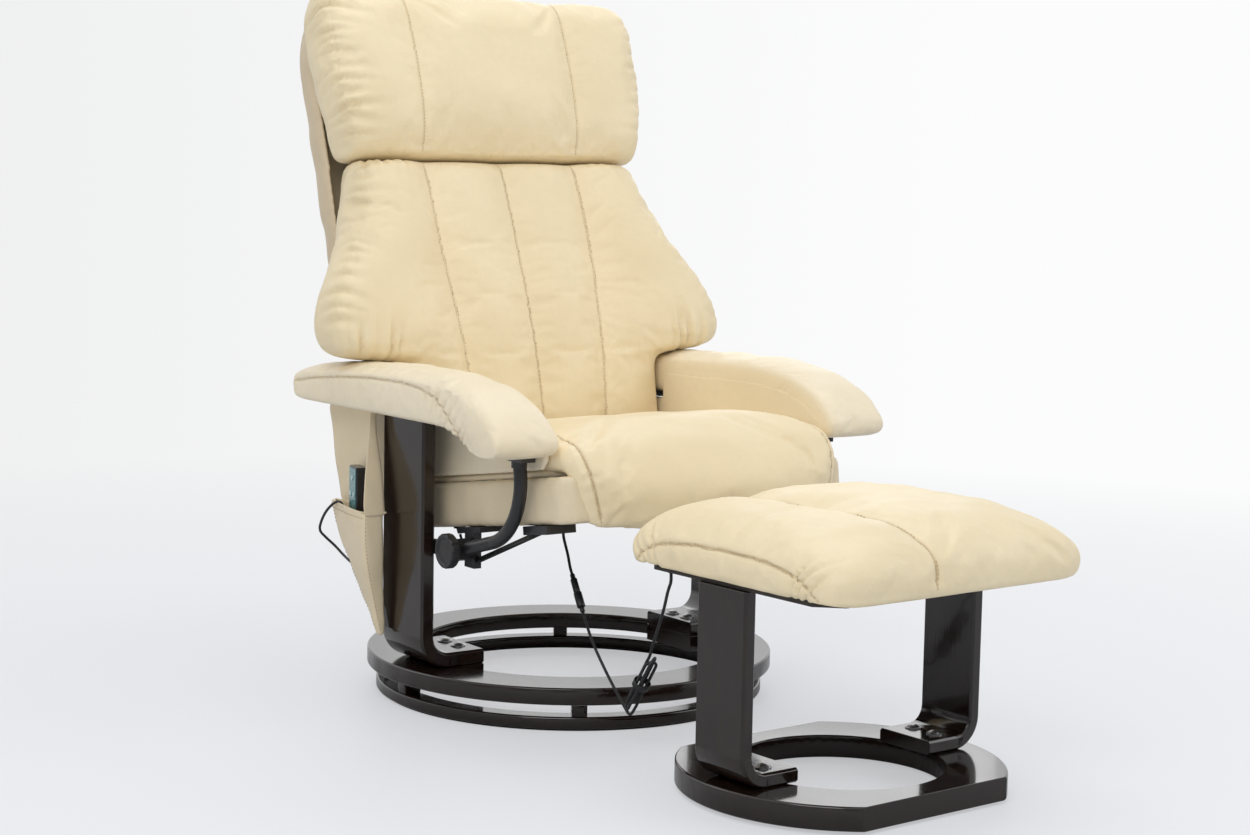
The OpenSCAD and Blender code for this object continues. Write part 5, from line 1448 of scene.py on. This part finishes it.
def roll() -> None:
    """Makes the soft roll between the seat box's upper edge and the cushion."""
    turn = np.array(SEAT_PLACE)
    side, front, high = 232.5, -374, 69.6
    half = [(side, -6), (side, -120), (side, -240), (side, front + 12), (side - 6, front + 1.5), (116, front),
            (0, front)]
    line = np.array([(x, y, high) for x, y in half] + [(-x, y, high) for x, y in half[-2::-1]], float)
    line = even_path(even_path(line, 4, 1), 3, 2)
    # The roll wears the darker copy of the leather, painted shade.
    dress(tube("seat_roll", (line * MM) @ turn[:3, :3].T + turn[:3, 3], 0.0066, 14), POUCH_SHADED, Body.SEAT)


@dataclass
class StoolPad(Cushion):
    """The footstool's thick pad with its one seam and a tuft."""

    cols: tuple = (1, 0.988, 0.955, 0.935, 0.86, 0.76, 0.62, 0.45, 0.29, 0.27, 0.25, 0.1)
    top: tuple = ((0.955, 0.02), (1, 0.22), (0.995, 0.46), (0.95, 0.64), (0.82, 0.82), (0.6, 0.94),
                  (0.3, 0.985), (0, 0.96), (-0.3, 0.985), (-0.6, 0.94), (-0.82, 0.82), (-0.95, 0.64),
                  (-0.995, 0.46), (-1, 0.22), (-0.955, 0.02))
    high: tuple = ((0, 0.42), (0.015, 0.55), (0.06, 0.7), (0.14, 0.8), (0.24, 0.88), (0.38, 0.94),
                   (0.55, 0.98), (1, 1))
    panel: tuple = ((172, 8), (160, 26), (128, 40), (60, 45), (0, 46), (-60, 45), (-122, 40), (-156, 26),
                    (-172, 8))
    half: float = 228
    deep: float = 212
    corner: float = 58
    thick: float = 92
    rim: float = 288
    seam_at: float = -62

    def ring(self, u: float) -> Ring:
        """One ring across the pad, at a share of its half-width."""
        x, r = u * self.half, self.corner
        c = self.half - r
        depth = self.deep - r + (math.sqrt(max(0.0, r * r - (abs(x) - c) ** 2)) if abs(x) > c else r)
        d = max(depth, self.deep - 0.9 * r)
        high = table_value(list(self.high), 1 - abs(u))
        dip = 0.16 if abs(u) > 0.99 else (0.06 if abs(u) > 0.97 else 0)
        top = [(x, q * d, self.rim + self.thick * max(h * high, dip + 0.01)) for q, h in self.top]
        hollow = min(179.2, d * 0.955 - 4)
        run = [d * 0.955 - 0.5, hollow + 0.5] + [hollow * (7 - j) / 5 for j in range(2, 8)]
        low = []
        for i in range(15):
            side, j = (i < 7) - (i > 7), min(i, 14 - i)
            lift = 12.3 if j > 1 and abs(u) < 0.94 else 0
            low.append((x, side * run[j], self.rim + lift + self.thick * dip))
        return top + low[::-1]

    def rings(self) -> list[Ring]:
        """Rings from the left edge to the right edge."""
        return [self.ring(-u) for u in self.cols] + [self.ring(u) for u in self.cols[::-1]]

    def resting(self, local: np.ndarray) -> np.ndarray:
        """The underside lies on its board."""
        return np.clip((self.rim + 14 - local[:, 2]) / 7, 0, 1)

    def side_line(self, surface: Surface, side: int, first: int = 0, last: int = 8) -> np.ndarray:
        """The curved seam of one end panel."""
        return surface.side(side * 400, [(y, self.rim + z) for y, z in self.panel[first:last + 1]])

    def seams(self, surface: Surface) -> list[Seam]:
        """The seam over the pad and the two end panels' seams."""
        over = Seam(surface.hoop(self.seam_at, (0, 322), (-6, 186)), 0.0045, 0.017)
        return [over] + [Seam(self.side_line(surface, s), 0.0026, 0.012) for s in (-1, 1)]

    def gathers(self, surface: Surface) -> list[Gather]:
        """Puckers at the corners of the end panels and beside the seam."""
        made = []
        for i, s in enumerate((-1, 1)):
            made += [Gather(self.side_line(surface, s, 6, 8), 0.013, 0.0062, 0.04, 0.2, 51 + i, 0.25),
                     Gather(self.side_line(surface, s, 0, 2), 0.013, 0.005, 0.036, -0.2, 53 + i),
                     Gather(self.side_line(surface, s), 0.035, 0.0014, 0.04, 0.3, 55 + i, 0.0)]
        return made

    def finishing(self, obj: Piece) -> None:
        """Pulls the tuft down in the middle of the seam."""
        local = self.local(obj)
        off = np.hypot(local[:, 0] - self.seam_at, (local[:, 1] - 20) * 0.8)
        rows = np.nonzero((off < 70) & (local[:, 2] > self.rim + 40))[0]
        shift_along_normals(obj, rows, -0.006 * np.exp(-(off[rows] / 24) ** 2))


@dataclass
class Shell(Cushion):
    """The upholstered tray behind the back cushion."""

    rows: tuple = ((-70, 222), (-40, 228), (60, 230), (150, 231), (172, 242), (205, 262), (300, 272),
                   (440, 268), (560, 268), (640, 266), (680, 256), (705, 240), (716, 222))
    round: tuple = ((0, 0), (0.35, 0), (0.72, 1), (0.93, 8), (1, 20))
    face: float = 84.3
    deep: float = 56

    def skin(self) -> Piece:
        """An open tray with a rounded rear."""
        rings = []
        foot, crown = self.rows[0][0], self.rows[-1][0]
        for share, cut in self.round:
            t = self.face + share * self.deep
            side = [(x - cut, min(max(s, foot + cut), crown - cut)) for s, x in self.rows]
            rings.append([(-x, t, s) for x, s in side] + [(x, t, s) for x, s in side[::-1]])
        obj = ring_skin(self.name, rings, self.place, shut=False)
        modify(obj, "SOLIDIFY", thickness=0.0085, offset=-1)
        apply_modifiers(obj)
        return obj

    def resting(self, local: np.ndarray) -> np.ndarray:
        """The rim is nailed down, and the inside stays as it is."""
        rim = np.clip((96 - local[:, 1]) / 8, 0, 1)
        inside = (np.abs(local[:, 0]) < 212) & (local[:, 1] < 133)
        return np.maximum(rim, inside & (local[:, 2] > -60) & (local[:, 2] < 706))

    def seams(self, surface: Surface) -> list[Seam]:
        """The seam round the rear panel and the one across it."""
        edge = [(x - 13, s) for s, x in self.rows[1:-2]]
        loop = [(-x, s) for x, s in edge] + [(-215, 700), (0, 704), (215, 700)] + edge[::-1]
        across = [(-250, 446), (0, 446), (250, 446)]
        return [Seam(surface.front(loop, rear=True), 0.0022, 0.01),
                Seam(surface.front(across, rear=True), 0.002, 0.012)]

    def gathers(self, surface: Surface) -> list[Gather]:
        """Light drag lines along the rear panel's sides."""
        edge = [(x - 20, s) for s, x in self.rows[2:-3]]
        paths = [surface.front([(s * x, z) for x, z in edge], rear=True) for s in (-1, 1)]
        return [Gather(path, 0.05, 0.0015, 0.05, 0.3, 60 + 2 * i, 0.0) for i, path in enumerate(paths)]


@dataclass
class SeatBoxCover(Cushion):
    """The leather drawn over the seat box's boards."""

    outer: tuple = ((-247, -391), (-233, -404), (233, -404), (247, -391), (247, -1), (-247, -1))
    inner: tuple = ((-233, -373), (-227, -380), (227, -380), (233, -373), (233, -15), (-233, -15))
    levels: tuple = (0.6, 65.6)

    def skin(self) -> Piece:
        """The four boards with rounded corners."""
        points = [(x, y, z) for z in self.levels for ring in (self.outer, self.inner) for x, y in ring]
        faces = []
        for k in range(6):
            n = (k + 1) % 6
            faces += [(k, n, n + 12, k + 12), (n + 6, k + 6, k + 18, n + 18), (k + 6, n + 6, n, k),
                      (k + 12, n + 12, n + 18, k + 18)]
        obj = mesh_object(self.name, [Vector(p) * MM for p in points], faces, self.place)
        modify(obj, "BEVEL", width=0.004, segments=3)
        apply_modifiers(obj)
        return obj

    def resting(self, local: np.ndarray) -> np.ndarray:
        """Only the outer faces are padded."""
        outside = (np.abs(local[:, 0]) > 241) | (local[:, 1] < -375) | (local[:, 1] > -7)
        return 1 - outside * np.clip((32 - np.abs(local[:, 2] - 32)) / 9, 0, 1)


@dataclass
class Pouch:
    """The pointed leather pouch under the left arm."""

    at: float = 305.2
    wall: float = 0.0019
    bow: float = 3.2
    levels: tuple = ((287.6, 32, 170, 39, 19.5), (270, 31, 161, 40.5, 20), (244, 31, 143, 41, 20),
                     (217.5, 32, 126, 38, 19), (190, 33, 104, 31, 16.5), (160, 34, 81, 23, 13.5),
                     (130, 35.5, 60, 15.5, 10.5), (112, 36, 50, 10, 8.5), (103.4, 37, 46, 7.5, 7))

    def thicken(self, obj: Piece, seed: int) -> None:
        """Gives the leather its thickness and small waves."""
        subdivide(obj, 3)
        undulate(obj, 0.0006, 0.05, seed)
        modify(obj, "SOLIDIFY", thickness=self.wall, offset=-1, use_even_offset=True)
        apply_modifiers(obj)
        smooth_faces(obj)

    def outer(self, level: tuple, k: float) -> Pair:
        """A point of the pocket's bowed outer wall, at a share from its front to its rear."""
        z, y0, y1, x1, x2 = level
        return self.at + mix(x1, x2, k) + self.bow * math.sin(math.pi * k), mix(y0, y1, k)

    def pocket(self) -> Piece:
        """The open pocket, from its mouth down to its tip."""
        points = []
        at, n, rows = self.at, 12, len(self.levels)
        for level in self.levels:
            z, y0, y1, x1, x2 = level
            ring = [(at, y0 + 0.5), (at + x1 * 0.3, y0 - 1), (at + x1 * 0.8, y0 - 1), (at + x1, y0 + 1)]
            ring += [self.outer(level, k) for k in (0.2, 0.45, 0.7, 0.92)]
            ring += [(at + x2, y1 - 0.5), (at + x2 * 0.5, y1 + 0.5), (at, y1), (at, mix(y0, y1, 0.5))]
            points += [Vector((-x, y, z + 0.02 * (y - y0) * (z > 280))) * MM for x, y in ring]
        faces = quads(rows, n) + [tuple((rows - 1) * n + k for k in range(n))[::-1]]
        obj = mesh_object("pouch_pocket", points, faces)
        outward(obj)
        self.thicken(obj, 71)
        return obj

    def panel(self) -> Piece:
        """The back panel and the gusset down its front edge."""
        points = []
        at = self.at + 0.1
        for j in range(7):
            k = j / 6
            z, rear = mix(434, 284, k), mix(214, 171, k)
            y, deep = mix(66, 32, ease(k)), mix(10.8, 39, ease(k * 1.05))
            row = [(at + deep, y), (at + deep * 0.66, y - 0.6), (at + deep * 0.3, y - 0.5), (at, y + 1)]
            row += [(at, mix(y, rear, s)) for s in (0.2, 0.4, 0.6, 0.8, 1)]
            points += [Vector((-x, yy, z)) * MM for x, yy in row]
        obj = mesh_object("pouch_panel", points, quads(7, 9, loop=False))
        self.thicken(obj, 73)
        return obj

    def hem(self) -> None:
        """The hem rolled over the pocket's mouth."""
        at = self.at
        z, y0, y1, x1, x2 = self.levels[0]
        rim = [(at + 1.3, y0 + 0.3, z), (at + x1 * 0.5, y0 - 0.6, z), (at + x1 - 1, y0 + 0.6, z)]
        rim += [(at - 0.8 + mix(x1, x2, k) + 3.0 * math.sin(math.pi * k), mix(y0, y1, k), z + 2.6 * k)
                for k in (0.1, 0.3, 0.5, 0.7, 0.9)]
        rim += [(at - 0.6 + x2, y1 - 1, z + 2.7), (at + x2 * 0.5, y1 - 0.2, z + 2.7)]
        line = even_path(np.array([(-x, y, zz) for x, y, zz in rim]) * MM, 0.002, 2)
        dress(tube("pouch_hem", line, 0.0016, 12), POUCH_SHADED, Body.FRAME)

    def build(self) -> None:
        """Makes the pouch, its rolled hem and its stitches."""
        pocket, panel = self.pocket(), self.panel()
        for obj in (pocket, panel):
            # The pouch wears the darker copy of the leather, painted shade.
            dress(obj, POUCH_SHADED, Body.FRAME)
        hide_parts("side_pouch")
        self.hem()
        mouth = self.levels[0]
        along = [self.outer(mouth, k) for k in np.linspace(0.02, 0.96, 20)]
        edges = [[(-x, y, mouth[0] - 7) for x, y in along],
                 [(-(self.at + r[3] - 3), r[1] - 1, r[0]) for r in self.levels[:-1]],
                 [(-(self.at + r[4] + 0.5), r[2] - 4, r[0]) for r in self.levels[:-1]]]
        paths = [even_path(np.array(edge) * MM) for edge in edges]
        made = stitches("pouch_stitches", pocket, paths, THREAD_REAR_SHADED, Body.FRAME)
        LOG.info("pouch: %d points, %d faces of thread", len(pocket.data.vertices), len(made.data.polygons))


# Hard pieces


HARD: dict[Finish, tuple[str, ...]] = {
    WOOD_FLAT: ("floor_ring", "swivel_ring", "stool_base"),
    WOOD_UP: ("left_leg", "right_leg", "stool_left_leg", "stool_right_leg", "ring_spacer_blocks"),
    STEEL: ("left_arm_plate", "right_arm_plate", "left_glide_tube", "right_glide_tube", "left_back_bracket",
            "right_back_bracket", "left_glide_bracket", "right_glide_bracket", "back_frame"),
    BOLT: ("leg_bolts", "stool_leg_bolts"),
    PLASTIC: ("clamp_knob", "massage_controller", "seat_cord_gland", "stool_cord_gland"),
    RUBBER: ("floor_foot_ring", "stool_glides"),
    NYLON: ("swivel_shoes",),
    BOARD: ("stool_deck",),
    WEBBING: ("seat_webbing", "back_webbing"),
    FLEECE: ("seat_dust_cover",),
    CASE: ("seat_motor", "lumbar_motor", "shoulder_motor", "stool_motor"),
    HANDSET: ("remote_case",),
    FACE: ("remote_face",),
    KEYS: tuple(f"remote_key_{k}" for k in range(1, 6)),
    PLUG: ("lead_connector", "lead_tie"),
}
EDGES = {"lacquered_wood": 0.0009, "black_steel": 0.0007, "black_plastic": 0.0006, "handset_black": 0.0008,
         "handset_face": 0.0003, "handset_keys": 0.0005, "plug_plastic": 0.0005, "board": 0.001}


def dress_frame() -> None:
    """Gives each CAD node that stays its finish and softly broken edges."""
    for finish, names in HARD.items():
        for name in names:
            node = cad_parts[name]
            if not node.material_slots:
                node.data.materials.append(finished(finish))
            for place in node.material_slots:
                place.material = finished(finish)
            if finish.slot in EDGES:
                modify(node, "WELD", merge_threshold=0.00002)
                modify(node, "BEVEL", width=EDGES[finish.slot], segments=2, limit_method="ANGLE",
                       angle_limit=math.radians(28), harden_normals=True)


def soft_pieces() -> list[Cushion]:
    """The padded pieces in the order that they are made in."""
    sides = (("right", ARM_PLACE), ("left", MIRROR @ ARM_PLACE))
    arms = [Arm(f"{side}_arm_cover", (f"{side}_arm",), Body.FRAME, ARM_CREAM_LIT, at, 0.0045, 0.006)
            for side, at in sides]
    panels = [ArmPanel(f"{side}_arm_panel", (), Body.FRAME, ARM_CREAM_LIT, at, 0.0025, 0, blown=False,
                       ripple=0.0003) for side, at in sides]
    return [SeatCushion("seat_cover", ("seat_cushion",), Body.SEAT, CREAM, SEAT_PLACE, cap=0.011),
            BackCushion("back_cover", ("back_cushion",), Body.BACK, CREAM, BACK_PLACE, cap=0.009,
                        ripple=0.0005),
            Headrest("headrest_cover", ("headrest",), Body.BACK, CREAM, BACK_PLACE, cap=0.009),
            *arms, *panels,
            StoolPad("stool_pad_cover", ("stool_pad",), Body.FLOOR, CREAM, PAD_PLACE, cap=0.009),
            # The shell and the seat box wear darker copies of the leather, painted shade.
            Shell("back_shell_cover", ("back_shell",), Body.BACK, REAR_SHADED, BACK_PLACE, 0.005, 0.005,
                  blown=False),
            SeatBoxCover("seat_box_cover", ("seat_box",), Body.SEAT, POUCH_SHADED, SEAT_PLACE, 0.004, 0.004,
                         blown=False)]


def main() -> None:
    """Builds every sub-assembly in order."""
    logging.basicConfig(level=logging.INFO, format="%(message)s")
    studio = Studio()
    studio.camera()
    Leads().build()
    studio.lights()
    for piece in soft_pieces():
        made = piece.build()
        LOG.info("%s: %d points", made.name, len(made.data.vertices))
    Pouch().build()
    roll()
    dress_frame()
    studio.sweep()


if __name__ == "__main__":
    main()
